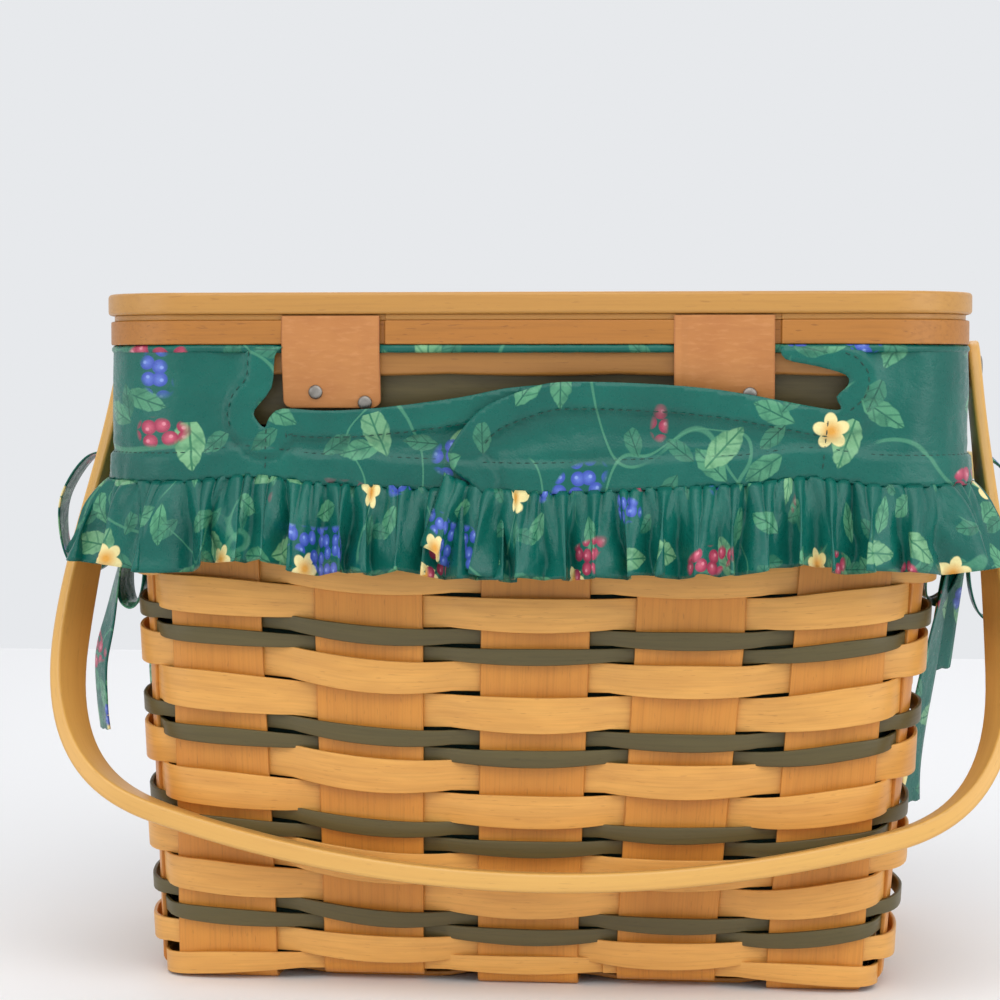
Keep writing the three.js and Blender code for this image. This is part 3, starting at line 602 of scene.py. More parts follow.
def round_the_wall(turn, z, out):
    """A point of the wall at a number of uprights counted round the basket."""
    order = math.floor(turn) % uprights_round
    share = turn - math.floor(turn)
    spots = [(side, index) for side, count in sides.items() for index in range(count)]
    side, index = spots[order]
    next_side, next_index = spots[(order + 1) % uprights_round]
    run = upright_run(side, index, z)
    next_run = upright_run(next_side, next_index, z)
    if side == next_side:
        return on_wall(side, run + (next_run - run) * share, z, out)
    arc = corner_at(z) * (math.pi / 2 - 2) / 2
    before = halves(side, z)[0] + arc - run
    after = halves(next_side, z)[0] + arc + next_run
    travelled = share * (before + after)
    if travelled <= before:
        return on_wall(side, run + travelled, z, out)
    return on_wall(next_side, next_run - (before + after - travelled), z, out)


def splint_path(name, z, start, lap, out=0, lift_at=None, tuck=1.4, per_turn=18):
    """The middle line of a row. Its last stretch runs on past its start, tucked in behind it."""
    points, turns, outward, narrow = [], [], [], []
    count = round((uprights_round + lap) * per_turn)
    for k in range(count + 1):
        turn = start + (uprights_round + lap) * k / count
        here = out - tuck * eased((turn - start - 15.3) / 0.7)
        lift, slim = lift_at(turn) if lift_at else (0, 1)
        a = Vector(round_the_wall(turn, z + lift, here))
        points.append(a)
        outward.append((Vector(round_the_wall(turn, z + lift, here + 1)) - a).normalized())
        turns.append(turn)
        narrow.append(slim)
    return path_mesh(name, points, turn=turns, outward=outward, narrow=narrow)


def to_corner(x, y):
    """0 along the middle of a long side, about 1 at the corners, and more on the end walls."""
    on_end = 0.42 * eased((72 - abs(y)) / 24) if abs(x) > 95 else 0
    if y < 0:
        return max(eased((-30 - x) / 84), 0.8 * eased((x - 64) / 52)) + on_end
    return eased((abs(x) - 60) / 50) + on_end


most_rise, most_widening = 7, 0.11


def row_lift(z, wide):
    """The rows rise towards the corners, where more of their width shows."""
    rise = most_rise * eased((z - 2) / 20) * (1 - 0.45 * eased((z - 90) / 60)) * eased((176 - z) / 24)
    widening = most_widening if wide and 20 < z < 158 else 0

    def lift(turn):
        x, y, _ = round_the_wall(turn, z, 0)
        share = to_corner(x, y)
        return rise * share, 1 + widening * min(share, 1)
    return lift


def foot_lift(turn):
    """The lowest row arches: it meets the table at the corners and is slimmer between them."""
    x, y, _ = round_the_wall(turn, 4, 0)
    share = 0
    if abs(y) > 60:
        share = (abs(x) / 107) ** 4
    elif abs(x) > 100:
        share = (abs(y) / 62) ** 4
    return 1.8 * (1 - share), 0.78 + 0.22 * share


wide_rows = [(0.9, 8.3), (6.8, 15.2), (22, 31.6), (31.6, 41.4), (49.9, 60.2), (60, 70.6), (79.7, 90.9),
             (91, 101.2), (110.6, 121.2), (121.4, 131.8), (141, 151.8), (151.9, 162.3)]
thin_rows = [(13.4, 18.6), (17.8, 23), (41, 46.2), (46, 51.3), (69, 74.4), (74.4, 80), (100.4, 105.6),
             (105.7, 111.4), (131, 136.3), (136.3, 141.6), (161.7, 167), (167, 172.6)]
for kind, rows, finish, slot in (("wide", wide_rows, weave_finish, "maple"),
                                 ("thin", thin_rows, olive_finish, "olive_stain")):
    for number, (low, high) in enumerate(rows, 1):
        seed = number + (30 if kind == "thin" else 0)
        start = (11 if seed % 4 < 2 else 9) + (number + 1) % 2
        foot = kind == "wide" and number == 1
        middle = (low + high) / 2
        path = splint_path(f"path_{kind}_{number}", middle, 2.54 if foot else start, 0.55,
                           lift_at=foot_lift if foot else row_lift(middle, kind == "wide"))
        flatter = {"sag": 0, "unevenness": 0.0002} if foot else {}
        bulge = 0.0026 if foot else 0.0039 if kind == "wide" else 0.0036
        row = shaped(f"row_{kind}_{number}", path, splint_tree, finish, row_width=(high - low) * MM,
                     seed=seed, first_side=1 if number % 2 else -1, bulge=bulge, **flatter)
        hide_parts(f"weaver_{kind}_{number}")
        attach(row, "basket")

# Top band and rim. A broad olive stained splint closes the weave. Two bands of thicker
# wood clamp the uprights' tops between them, the outer one with rounded edges.
# The rim wood's colour is its own tone darkened with painted shade, standing in for the shade that the lid
# and skirt cast on the rim.
rim_finish = splint_finish("rim_wood", linear(174, 121, 54), linear(156, 103, 42), linear(110, 68, 26),
                           (8, 260, 1))
rim_foot = 188
for name, node, low, high, out, thickness, radius, finish, slot in (
        ("band_top", "weaver_top_band", 172.8, 196, 1.7, 1.2, 0.3, olive_finish, "olive_stain"),
        ("rim_outer", "rim_outer_band", rim_foot, upright_top, 4.25, 3.3, 1.3, rim_finish, "maple"),
        ("rim_inner", "rim_inner_band", rim_foot, upright_top, -2.3, 2.3, 0.8, rim_finish, "maple")):
    path = splint_path(f"path_{name}", (low + high) / 2, 10, -0.002, out, tuck=0)
    band = shaped(name, path, splint_tree, finish, row_width=(high - low) * MM, thickness=thickness * MM,
                  edge_radius=radius * MM, bulge=0, dive=0, sag=0, unevenness=0.0002, seed=70 + out)
    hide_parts(node)
    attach(band, "basket")

# Lid. A solid board with eased edges lies on a frame, with a thin recessed strip between
# them. The frame's underside is open in the middle, and all three are glued up.
board_finish = splint_finish("lid_board_wood", linear(198, 146, 70), linear(184, 131, 59),
                             linear(150, 100, 42), (7, 190, 260), False, 0.42, 0.2)
frame_finish = splint_finish("lid_frame_wood", linear(184, 122, 47), linear(168, 106, 36),
                             linear(122, 72, 22), (9, 240, 240), False, 0.46, 0.1, 1.4)


def eased_copy(node, name, finish, body, ease, segments=3):
    """The node's own solid with its edges rounded over."""
    source = bpy.data.objects[node]
    mesh = source.data.copy()
    mesh.name = name
    mesh.transform(source.matrix_world)
    shell = bmesh.new()
    shell.from_mesh(mesh)
    bmesh.ops.remove_doubles(shell, verts=shell.verts, dist=0.00001)
    bmesh.ops.dissolve_limit(shell, angle_limit=math.radians(1), verts=shell.verts, edges=shell.edges)
    bmesh.ops.recalc_face_normals(shell, faces=shell.faces)
    shell.to_mesh(mesh)
    shell.free()
    mesh.materials.clear()
    mesh.materials.append(finish)
    mesh.shade_smooth()
    piece = shown(name, mesh)
    rounded(piece, ease, segments, 40)
    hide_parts(node)
    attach(piece, body)
    return piece


eased_copy("lid_board", "lid_top", board_finish, "lid", 1.1)
# The recessed strip takes the board's paler wood rather than the frame's tone, as painted light that offsets
# the shade in its recess.
eased_copy("lid_spacer", "lid_strip", board_finish, "lid", 0.2, 1)
eased_copy("lid_frame", "lid_rails", frame_finish, "lid", 0.7)

# Hinge straps. Two rectangles of tan leather hang from under the board over the rim. They
# are the lid's hinges. The right one has a crease.
leather_finish, tree, shader, where = bare_finish("tan_leather")
fibres = speckle(tree, where, (900, 240, 1), 3)
creases = speckle(tree, where, (330, 70, 1), 4, 3.3)
stains = speckle(tree, where, (60, 60, 1), 3, 7.7)
colour = blend_colours(tree, stains.over(0.5, 0.6), linear(193, 130, 70), linear(179, 114, 57))
colour = blend_colours(tree, creases.over(0.6, 0.25) * 0.3, colour, linear(160, 96, 50))
colour = blend_colours(tree, fibres.over(0.62, 0.2) * 0.22, colour, linear(218, 158, 104))
colour = blend_colours(tree, edge_of(tree).over(0.7, 0.6) * 0.6, colour, linear(150, 88, 44))
shader.inputs["Sheen Weight"].default_value = 0.05
dress(tree, shader, colour, creases * 0.2 + 0.42, fibres * 0.5 + creases, 0.4, 0.0003)

strap_width, strap_thickness, strap_corner = 29.8, 1.7, 2.6
strap_top, strap_end = 206.1, 178.4
strap_middles = -59.1, 59


def strap_face(z):
    """How far forward the middle of a strap's leather lies at a height."""
    return -87.3 + 2.6 * eased((196 - z) / 17.6)


for label, middle, crease, seed in (("left", strap_middles[0], 9, 1),
                                    ("right", strap_middles[1], -12.6, 2)):
    rows = []
    for k in range(41):
        z = strap_top + (strap_end - strap_top) * k / 40
        corner = max(0, strap_corner - (z - strap_end))
        narrow = strap_corner - math.sqrt(max(0, strap_corner ** 2 - corner ** 2))
        row = []
        for step in range(33):
            side = step / 16 - 1
            x = middle + side * (strap_width / 2 - narrow)
            sway = 0.3 * noise.noise((x * 0.08, z * 0.08, seed * 9))
            fold = 0.45 * seed / 2 * math.exp(-((x - middle - crease) / 0.9) ** 2)
            belly = 0.35 * math.sin(math.pi * k / 40)
            row.append((x, strap_face(z) - belly - sway + fold + 0.25 * side * side, z))
        rows.append(row)
    strap = sheet_of(f"strap_{label}", rows, leather_finish, (seed * 0.3, 0))
    thicken(strap, strap_thickness, 0.5, 3)
    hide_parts(f"hinge_strap_{label}")
    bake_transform(strap)

# Tacks. Four flat domed steel heads, two through the foot of each strap.
steel_finish, tree, shader, where = bare_finish("dull_steel", "Object")
scuffs = speckle(tree, where, (1400, 1400, 1400), 3)
bloom = speckle(tree, where, (300, 300, 300), 2, 3)
colour = blend_colours(tree, bloom.over(0.5, 0.4), linear(160, 156, 150), linear(124, 119, 112))
shader.inputs["Metallic"].default_value = 1
dress(tree, shader, colour, scuffs * 0.3 + 0.34, scuffs, 0.3, 0.0001)


def tube_faces(count, around):
    """The faces of a closed tube of rings of points, with a face at each end."""
    sides = [(i * around + k, i * around + (k + 1) % around, (i + 1) * around + (k + 1) % around,
              (i + 1) * around + k) for i in range(count - 1) for k in range(around)]
    return sides + [tuple(range(around))[::-1], tuple((count - 1) * around + k for k in range(around))]


def turned(name, profile, place, direction, finish, segments=32):
    """A lathe turned piece in millimetres: profile is radius and distance along the axis."""
    axis = Vector(direction).normalized()
    one = axis.orthogonal().normalized()
    two = axis.cross(one)
    origin = Vector(place)
    points = []
    for radius, along in profile:
        for k in range(segments):
            angle = 2 * math.pi * k / segments
            outward = one * math.cos(angle) + two * math.sin(angle)
            points.append(origin + axis * along + outward * radius)
    mesh = smooth_mesh(name, points, tube_faces(len(profile), segments), finish)
    mesh.set_sharp_from_angle(angle=math.radians(50))
    return shown(name, mesh)


tack_profile = [(0.9, -3), (0.9, 0), (2.15, 0), (2.15, 0.35), (2.0, 0.65), (1.6, 0.92), (0.9, 1.08),
                (0.05, 1.1)]
for label, number, x, z in (("left", 1, -63.9, 183.2), ("left", 2, -48.9, 180),
                            ("right", 1, 53.3, 181.5), ("right", 2, 66.6, 182.6)):
    tack = turned(f"tack_{label}_{number}", tack_profile, (x, strap_face(z) - 1.15, z), (0, -1, -0.12),
                  steel_finish)
    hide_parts(f"hinge_tack_{label}_{number}")
    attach(tack, "basket")

# Handle. One strip of steamed ash, bent by hand to a flat bottomed loop that isn't quite
# even, thin in the arms and thick in the grip. Below its pivots the strip cants, so that
# its front edge stands further out. Its arms end in half rounds about the pins.
handle_finish = splint_finish("handle_wood", linear(229, 181, 97), linear(214, 161, 81), linear(164, 110, 50),
                              (7, 220, 1), True, 0.38, 0.25, 0.7)
pivot_z = 190.5
half_strip, arm_thickness, grip_thickness = 8, 3.9, 5.8
handle_lean = math.radians(29.6)
handle_cant = math.radians(20)
arm_bend = [(142.8, -10), (144, 33.3), (148.8, 66.7), (148.8, 100)]
corner_bend = [(148.8, 100), (148.8, 140.7), (130.55, 154.3), (112.3, 161)]
grip_bend = [(112.3, 161), (74.9, 174.3), (37.4, 181), (0, 181)]


def on_bend(bend, t):
    """A point of a curve that its two middle points pull on."""
    a, b, c, d = (Vector(p) for p in bend)
    return a * (1 - t) ** 3 + b * 3 * t * (1 - t) ** 2 + c * 3 * t * t * (1 - t) + d * t ** 3


half_loop = []
for bend, count in ((arm_bend, 40), (corner_bend, 24), (grip_bend, 24)):
    for k in range(count + (bend is grip_bend)):
        t = k / count
        cant = handle_cant * (eased((t - 1 / 6) * 6 / 5) if bend is arm_bend else 1)
        growth = 0 if bend is arm_bend else 1 if bend is grip_bend else eased(t)
        half_loop.append((on_bend(bend, t), cant, arm_thickness + (grip_thickness - arm_thickness) * growth))
loop = half_loop + [(Vector((-p.x, p.y)), cant, thick) for p, cant, thick in half_loop[-2::-1]]
for outer, _, _ in loop:
    bent_by_hand = eased(outer.y / 120)
    outer.y += bent_by_hand * (0.033 * outer.y + 0.024 * outer.x - 5.8 * (1 - (outer.x / 150) ** 2))
    outer.x -= 2 + 1.1 * bent_by_hand
along_bend = lengths([p for p, _, _ in loop])
sections = []
for k, (outer, cant, thick) in enumerate(loop):
    course = (loop[min(k + 1, len(loop) - 1)][0] - loop[max(k - 1, 0)][0]).normalized()
    inward = Vector((-course.y, course.x))
    if inward.dot(Vector((-outer.x, 60 - outer.y))) < 0:
        inward = -inward
    half = half_strip if outer.y > 0 else math.sqrt(max(half_strip ** 2 - (outer.y * 0.8) ** 2, 0.5))
    ease = min(1.1, thick * 0.3, half * 0.5)
    section = []
    near, cut = 0.3 * ease, half - 0.3 * ease
    for side, depth in ((ease - half, 0), (0, 0), (half - ease, 0), (cut, near), (half, ease),
                        (half, thick - ease), (cut, thick - near), (half - ease, thick), (0, thick),
                        (ease - half, thick), (-cut, thick - near), (-half, thick - ease), (-half, ease),
                        (-cut, near)):
        spot = outer + inward * (depth * math.cos(cant) + side * math.sin(cant))
        y, z = side * math.cos(cant) - depth * math.sin(cant), -spot.y
        section.append((spot.x, y * math.cos(handle_lean) + z * math.sin(handle_lean),
                        pivot_z - y * math.sin(handle_lean) + z * math.cos(handle_lean)))
    sections.append(section)
count = len(sections[0])
mesh = smooth_mesh("bent_handle", [p for section in sections for p in section],
                   tube_faces(len(sections), count), handle_finish)
round_section = lengths(sections[60] + [sections[60][0]])
uv = mesh.uv_layers.new(name="UVMap").data
corner = 0
for i in range(len(sections) - 1):
    for k in range(count):
        for a, b in ((i, k), (i, k + 1), (i + 1, k + 1), (i + 1, k)):
            uv[corner].uv = (along_bend[a] * MM, round_section[b] * MM)
            corner += 1
for cap in range(2 * count):
    uv[corner + cap].uv = (0.5 + cap * 0.001, 0.3)
mesh.set_sharp_from_angle(angle=math.radians(60))
handle = shown("bent_handle", mesh)
handle.modifiers.new("soft_edges", "WEIGHTED_NORMAL").keep_sharp = True
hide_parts("handle")
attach(handle, "handle")

# Pivots. A turned wooden spacer keeps each arm off the rim, and a flat steel pin goes
# through the arm, the spacer and the rim. The left spacer is the longer one.
rim_face, arm_room = 131.55, 4.65
for label, sign, length in (("left", -1, 9), ("right", 1, 5.1)):
    spacer_profile = [(2.3, 0), (6.6, 0), (7, 0.4), (7, length - 0.4), (6.6, length), (2.3, length)]
    spacer = turned(f"pivot_spacer_{label}", spacer_profile, (sign * rim_face, 0, pivot_z), (sign, 0, 0),
                    rim_finish)
    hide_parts(f"handle_spacer_{label}")
    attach(spacer, "basket")
    pin_profile = [(2, -20), (2, 0), (4.2, 0), (4.2, 0.2), (3.9, 0.5), (3.2, 0.7), (0.05, 0.8)]
    pin = turned(f"pivot_pin_{label}", pin_profile, (sign * (rim_face + arm_room + length), 0, pivot_z),
                 (sign, 0, 0), steel_finish)
    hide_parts(f"handle_pin_{label}")
    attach(pin, "basket")

# Liner. A loose bag of printed cotton lines the walls and the floor. Its mouth is turned
# out over the rim and ends in a rolled binding. The print is leaves, vines, berries and
# small flowers on dark teal, scattered by chance.
cloth_finish, tree, shader, where = bare_finish("printed_cotton")


def motifs(tree, where, per_metre, shift, loose=0.85):
    """Cells scattered over the cloth: a place inside each, turned by chance, and its chances."""
    spread = add(tree, "ShaderNodeMapping", Vector=where, Scale=(per_metre,) * 3,
                 Location=(shift, shift * 0.7, 0))
    cells = add(tree, "ShaderNodeTexVoronoi", {"voronoi_dimensions": "2D"}, Vector=spread.outputs[0], Scale=1,
                Randomness=loose)
    local = add(tree, "ShaderNodeVectorMath", {"operation": "SUBTRACT"}, Vector=spread.outputs[0])
    tree.links.new(cells.outputs["Position"], local.inputs[1])
    chances = add(tree, "ShaderNodeSeparateColor", Color=cells.outputs["Color"])
    first, second, third = (Amount(tree, socket) for socket in chances.outputs)
    place = add(tree, "ShaderNodeVectorRotate", {"rotation_type": "Z_AXIS"}, Vector=local.outputs[0],
                Angle=first * (2 * math.pi))
    place = add(tree, "ShaderNodeSeparateXYZ", Vector=place.outputs[0])
    return Amount(tree, place.outputs["X"]), Amount(tree, place.outputs["Y"]), second, third


dye = speckle(tree, where, (45, 45, 1), 2, 1.1)
colour = blend_colours(tree, dye.over(0.5, 0.5), linear(3, 86, 76), linear(6, 101, 88))
for per_metre, shift, level in ((17, 4.2, 0.5), (23, 9.1, 0.46)):
    winding = speckle(tree, where, (per_metre, per_metre, 1), 1, shift)
    vine = ((winding - level).calc("ABSOLUTE") * -1).over(-0.0042, 0.003)
    kept = speckle(tree, where, (30, 30, 1), 0, shift + 7).over(0.5, 0.03)
    colour = blend_colours(tree, vine * kept * 0.6, colour, linear(84, 152, 118))
for per_metre, shift, share, tone, vein in ((52, 0.3, 0.42, linear(92, 160, 120), linear(38, 104, 80)),
                                            (66, 6.6, 0.6, linear(64, 132, 104), linear(26, 88, 70)),
                                            (42, 13.7, 0.66, linear(128, 182, 134), linear(56, 122, 88))):
    x, y, kind, shade = motifs(tree, where, per_metre, shift)
    ragged = speckle(tree, where, (420, 420, 1), 1, shift) * 0.07 - 0.035
    leaf = (x * x) * -1.35 + 0.17 - y.calc("ABSOLUTE") + ragged
    rib = (x * 30 - y.calc("ABSOLUTE") * 34).calc("SINE")
    brushed = speckle(tree, where, (240, 240, 1), 2, shift + 3).over(0.56, 0.16)
    lined = blend_colours(tree, brushed * 0.55, tone, vein)
    lined = blend_colours(tree, rib.over(0.86, 0.3) * 0.7, lined, vein)
    lined = blend_colours(tree, (y.calc("ABSOLUTE") * -1).over(-0.012, 0.01), lined, vein)
    kept = kind.over(share, 0.01) * (shade * 0.25 + 0.7)
    colour = blend_colours(tree, leaf.over(0, 0.02) * kept, colour, lined)
x, y, kind, shade = motifs(tree, where, 40, 21.3)
bloom = (x * x + y * y).calc("SQRT")
petals = (y.calc("ARCTAN2", x) * 2.5).calc("COSINE").calc("ABSOLUTE") * 0.09 + 0.13 - bloom
flower = blend_colours(tree, (bloom * -1).over(-0.09, 0.12), linear(238, 224, 160), linear(222, 160, 66))
colour = blend_colours(tree, petals.over(0, 0.02) * kind.over(0.86, 0.01), colour, flower)
for per_metre, shift, edge_at, deep, bright, glint in (
        (205, 3.9, 0.73, linear(158, 50, 80), linear(204, 92, 116), linear(222, 136, 152)),
        (210, 17.2, 0.74, linear(60, 84, 176), linear(96, 122, 208), linear(132, 158, 226))):
    x, y, kind, shade = motifs(tree, where, per_metre, shift, 0.5)
    reach = (x * x + y * y).calc("SQRT")
    bunch = speckle(tree, where, (38, 38, 1), 0, shift * 2).over(edge_at, 0.02)
    berry = blend_colours(tree, reach.over(0.22, 0.35), bright, deep)
    from_glint = (x - 0.1) * (x - 0.1) + (y - 0.1) * (y - 0.1)
    berry = blend_colours(tree, (from_glint * -1).over(-0.012, 0.014), berry, glint)
    colour = blend_colours(tree, (reach * -1).over(-0.46, 0.06) * bunch, colour, berry)
yarn = speckle(tree, where, (1700, 1700, 1), 1, 2.2)
crumple = speckle(tree, where, (75, 75, 1), 3, 8.8, 0.5)
mottle = speckle(tree, where, (520, 520, 1), 3, 12.4, 0.6)
shader.inputs["Specular IOR Level"].default_value = 0.36
shader.inputs["Sheen Weight"].default_value = 0.02
shader.inputs["Sheen Roughness"].default_value = 0.4
dress(tree, shader, colour, mottle * 0.5 + 0.08, crumple * 2.4 + mottle * 0.16 + yarn * 0.16, 0.6, 0.0008)

reverse_finish, tree, shader, where = bare_finish("cotton_reverse")
weft = speckle(tree, where, (1400, 1400, 1), 1, 2.2)
colour = blend_colours(tree, weft.over(0.5, 0.3), linear(8, 40, 34), linear(14, 56, 48))
dress(tree, shader, colour, weft * 0.2 + 0.7, weft, 0.4, 0.0002)

rim_arc = top_corner * (math.pi / 2 - 2) / 2
front_half = top_half_width + rim_arc
side_half = top_half_depth + rim_arc
perimeter = 4 * (front_half + side_half)
quarter = perimeter / 4


def on_rim(q, z, out):
    """A point on the rim's outline at a height, q millimetres round it from the front's middle."""
    q = (q + front_half) % perimeter - front_half
    side, start = "left", perimeter * 3 / 4
    for name, middle, half in (("front", 0, front_half), ("right", quarter, side_half),
                               ("back", perimeter / 2, front_half)):
        if q < middle + half:
            side, start = name, middle
            break
    x, y, _ = on_wall(side, q - start, body_height, out)
    return (x, y, z)


def surface(name, points, faces, flat, thickness):
    """A cloth piece: points in millimetres, and for each its place on the flat cloth."""
    mesh = smooth_mesh(name, points, faces, cloth_finish)
    lay_flat(mesh, metres(flat))
    piece = shown(name, mesh)
    walled(piece, thickness)
    return piece


bag_points, bag_flat = [], []
stations, bag_floor = 390, 4.2
for k in range(stations):
    q = perimeter * k / stations + strap_middles[1]
    x, y, _ = on_rim(q, 0, 0)
    column = [(stance(x * 0.86 * share, bag_floor), y * 0.78 * share, bag_floor)
              for share in (0.02, 0.25, 0.5, 0.75, 0.93)]
    for z in (5.5, 9, 20, 40, 60, 80, 100, 120, 140, 160, 175, 186, 193):
        sag = 0.5 * noise.noise((q * 0.05, z * 0.03, 3)) + 0.3 * noise.noise((q * 0.2, z * 0.02, 9))
        x, y, _ = on_rim(q, z, -4.9 - wall_lean * (1 - z / body_height) - abs(sag) * 1.2)
        column.append((stance(x, z), y, z))
    pressed = 0
    for middle in strap_middles:
        pressed = max(pressed, eased((17.5 - abs((q + quarter) % perimeter - quarter - middle)) / 3))
    plump = 1 + 0.12 * noise.noise((q * 0.3, 4, 4))
    column += [on_rim(q, 196.2, -4.3), on_rim(q, 197.1, -3.6), on_rim(q, 197.2, -1), on_rim(q, 197.2, 3)]
    for turn in range(10):
        angle = math.pi / 2 - turn * math.pi / 5.2
        column.append(on_rim(q, 196.2 + 1.05 * plump * math.sin(angle),
                             6.9 - 0.75 * pressed + (1.05 - 0.55 * pressed) * plump * math.cos(angle)))
    if k == 0:
        depth = lengths(column)
    bag_points += column
    bag_flat += [(q, d) for d in depth]
across = len(depth)
bag = surface("liner", bag_points, grid_faces(stations, across, True), bag_flat, 0.35)
bag.data.materials.append(reverse_finish)
bag.modifiers["thickness"].material_offset = 1
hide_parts("liner_bag")
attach(bag, "basket")

# Skirt. Three flat panels of the same cotton hang outside the rim: front left, front right,
# which laps over it, and back. Their free edges are turned in and stitched.
slot_half = 9.5
skirt_top, skirt_foot, skirt_depth = 196.8, 155.3, 41
seam_band, hem_stitches = 9.2, 8.1


def seam_at(q):
    """The height of the seam under the skirt panels, which isn't quite level in front."""
    return skirt_foot - 2.4 * math.exp(-(q / 38) ** 2) + 2.5 * math.exp(-((abs(q) - 84) / 14) ** 2)


def sampled(outline, step):
    """The outline's points with new ones between them, about a step apart."""
    line = []
    for here, there in zip(outline, outline[1:] + outline[:1]):
        parts = max(1, round(math.dist(here, there) / step))
        line += [between(here, there, k / parts) for k in range(parts)]
    return line


def from_line(spot, line):
    """The distance of a place on the flat cloth from a line of points."""
    least = 1e9
    for (ax, ay), (bx, by) in zip(line, line[1:]):
        dx, dy = bx - ax, by - ay
        share = min(max(((spot[0] - ax) * dx + (spot[1] - ay) * dy) / (dx * dx + dy * dy), 0), 1)
        least = min(least, math.hypot(spot[0] - ax - dx * share, spot[1] - ay - dy * share))
    return least


def panel(name, outline, out_at, seed, step=1.5):
    """A flat cut panel, hung round the rim: outline holds run and height of its corners."""
    edge = sampled(outline, step)
    inner = []
    row, z = 0, min(p[1] for p in edge) + step
    while z < max(p[1] for p in edge):
        q = min(p[0] for p in edge) + step * (1 + row % 2 / 2)
        while q < max(p[0] for p in edge):
            inner.append((q, z))
            q += step
        z += step * 0.87
        row += 1
    inner = [p for p in inner if min(math.dist(p, e) for e in edge) > step * 0.6]
    spots, _, faces, *_ = delaunay_2d_cdt([Vector(p) for p in edge + inner], [], [list(range(len(edge)))],
                                          1, 0.01)
    flat = [tuple(p) for p in spots]
    return surface(name, [on_rim(q, z, out_at(q, z)) for q, z in flat], faces,
                   [(q + seed * 90, z) for q, z in flat], 0.5)


def smooth_line(points, per_span):
    """Points on a smooth curve through the given ones."""
    line = []
    points = [Vector(p) for p in points]
    for i in range(len(points) - 1):
        a, b = points[max(i - 1, 0)], points[i]
        c, d = points[i + 1], points[min(i + 2, len(points) - 1)]
        for k in range(per_span):
            t = k / per_span
            line.append(0.5 * (2 * b + (c - a) * t + (2 * a - 5 * b + 4 * c - d) * t * t
                               + (3 * b - a - 3 * c + d) * t * t * t))
    line.append(points[-1])
    return line


def lapped(q):
    """How far the right half of the skirt stands off, to lie over the left half."""
    return 3.2 * eased((q + 40) / 3) * eased((100 - q) / 60)


def skirt_out(q, z, hem, layer, seed):
    """How far out the cloth lies: it swells a little, and is thicker at its hems."""
    drop = (body_height - z) / skirt_depth
    above = z - seam_at(q)
    swell = 0.8 * noise.noise((q * 0.03, z * 0.05, seed))
    swell += 0.6 * noise.noise((q * 0.08, z * 0.06, seed + 4)) * drop
    pucker = noise.noise((q * 0.4, z * 0.1, seed + 9)) * (0.4 * eased(1 - above / 9) + 0.2)
    hemmed = 0
    if hem:
        inside_by = from_line((q, z), hem)
        hemmed = 1.1 * eased((8.8 - inside_by) / 0.9) - 0.7 * math.exp(-((inside_by - 9.5) / 0.9) ** 2)
        hemmed -= 1.3 * eased((inside_by - 9) / 3) * eased((above - 9.5) / 4) * eased((22 - inside_by) / 8)
        hemmed += 0.3 * noise.noise((q * 0.25, z * 0.25, seed + 15)) * eased((12 - inside_by) / 4)
    band = 0.8 * eased((9.4 - above) / 0.9) - 0.5 * math.exp(-((above - 10) / 0.9) ** 2)
    from_middle = abs((q + quarter) % (2 * quarter) - quarter)
    end = eased((from_middle - (quarter - slot_half - 16)) / 16) if hem else 0
    return 7.2 + 0.9 * drop + swell * (0.4 + drop) + pucker + hemmed + band + layer + 1.2 * end * drop


def along_seam(start, end, above=0, parts=None):
    """A line along the seam, or above it: the bottom edge of a panel, or a row of stitches."""
    parts = parts or max(2, round(abs(end - start) / 6))
    runs = [start + (end - start) * k / parts for k in range(parts + 1)]
    return [(q, seam_at(q) + above) for q in runs]


left_hem = [(-73.5, skirt_top), (-75.9, 194), (-76.9, 184.5), (-82.1, 177.8), (-81.6, 174.9), (-79, 172.5),
            (-77.5, 175.6), (-73.5, 178.2), (-61.1, 177.6), (-44, 178.5), (-20.1, 181.6), (-6, 184.4),
            (8, 185.6)]
right_hem = [(-16.6, 156.5), (-21.5, 160), (-22.8, 163.5), (-22.5, 166.4), (-17.3, 174), (-10.6, 179.7),
             (1.8, 184.5), (11.4, 186.3), (34.1, 185.9), (53.2, 184.5), (66.7, 182.5), (74.1, 181.1),
             (87.6, 178.6), (93.3, 178.3), (92, 181.9), (95.3, 185.3), (94.6, 188.4), (86, 191), (77, 193),
             (75.4, skirt_top)]
left_hem, right_hem = ([tuple(p) for p in smooth_line(line, 3)] for line in (left_hem, right_hem))
front_end = quarter - slot_half
left_outline = [(-front_end, skirt_top)] + left_hem + [(10, 180)] + along_seam(4, -front_end)
right_outline = along_seam(front_end, -13) + right_hem + [(front_end, skirt_top)]
back_start, back_end = quarter + slot_half, 3 * quarter - slot_half
back_outline = [(back_start, skirt_top), (back_end, skirt_top), (back_end, skirt_foot),
                (back_start, skirt_foot)]
hem_lines = {}
for name, node, outline, hem, over_it, seed, area in (
        ("panel_left", "skirt_front_left", left_outline, left_hem, 0, 1, 0.0070),
        ("panel_right", "skirt_front_right", right_outline, right_hem, 1, 2, 0.0071),
        ("panel_back", "skirt_back", back_outline, None, 0, 3, None)):
    def out_at(q, z, hem=hem, over_it=over_it, seed=seed):
        return skirt_out(q, z, hem, lapped(q) * over_it, seed * 5)
    cloth = panel(name, outline, out_at, seed)
    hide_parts(node)
    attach(cloth, "basket")
    spread = max(p[0] for p in outline) - min(p[0] for p in outline)
    spread * MM
    hem_lines[name] = (hem, out_at)

# Ruffles. A gathered strip of the same cotton is sewn under each panel. Its gathers are
# fine at the seam and open to wider, rounded folds at the hem. The right one laps over the
# left one.


def puffed(phase):
    """A row of rounded folds with sharp creases between them, from -1 in a crease to 1."""
    return 2 * abs(math.sin(phase / 2)) ** 0.75 - 1


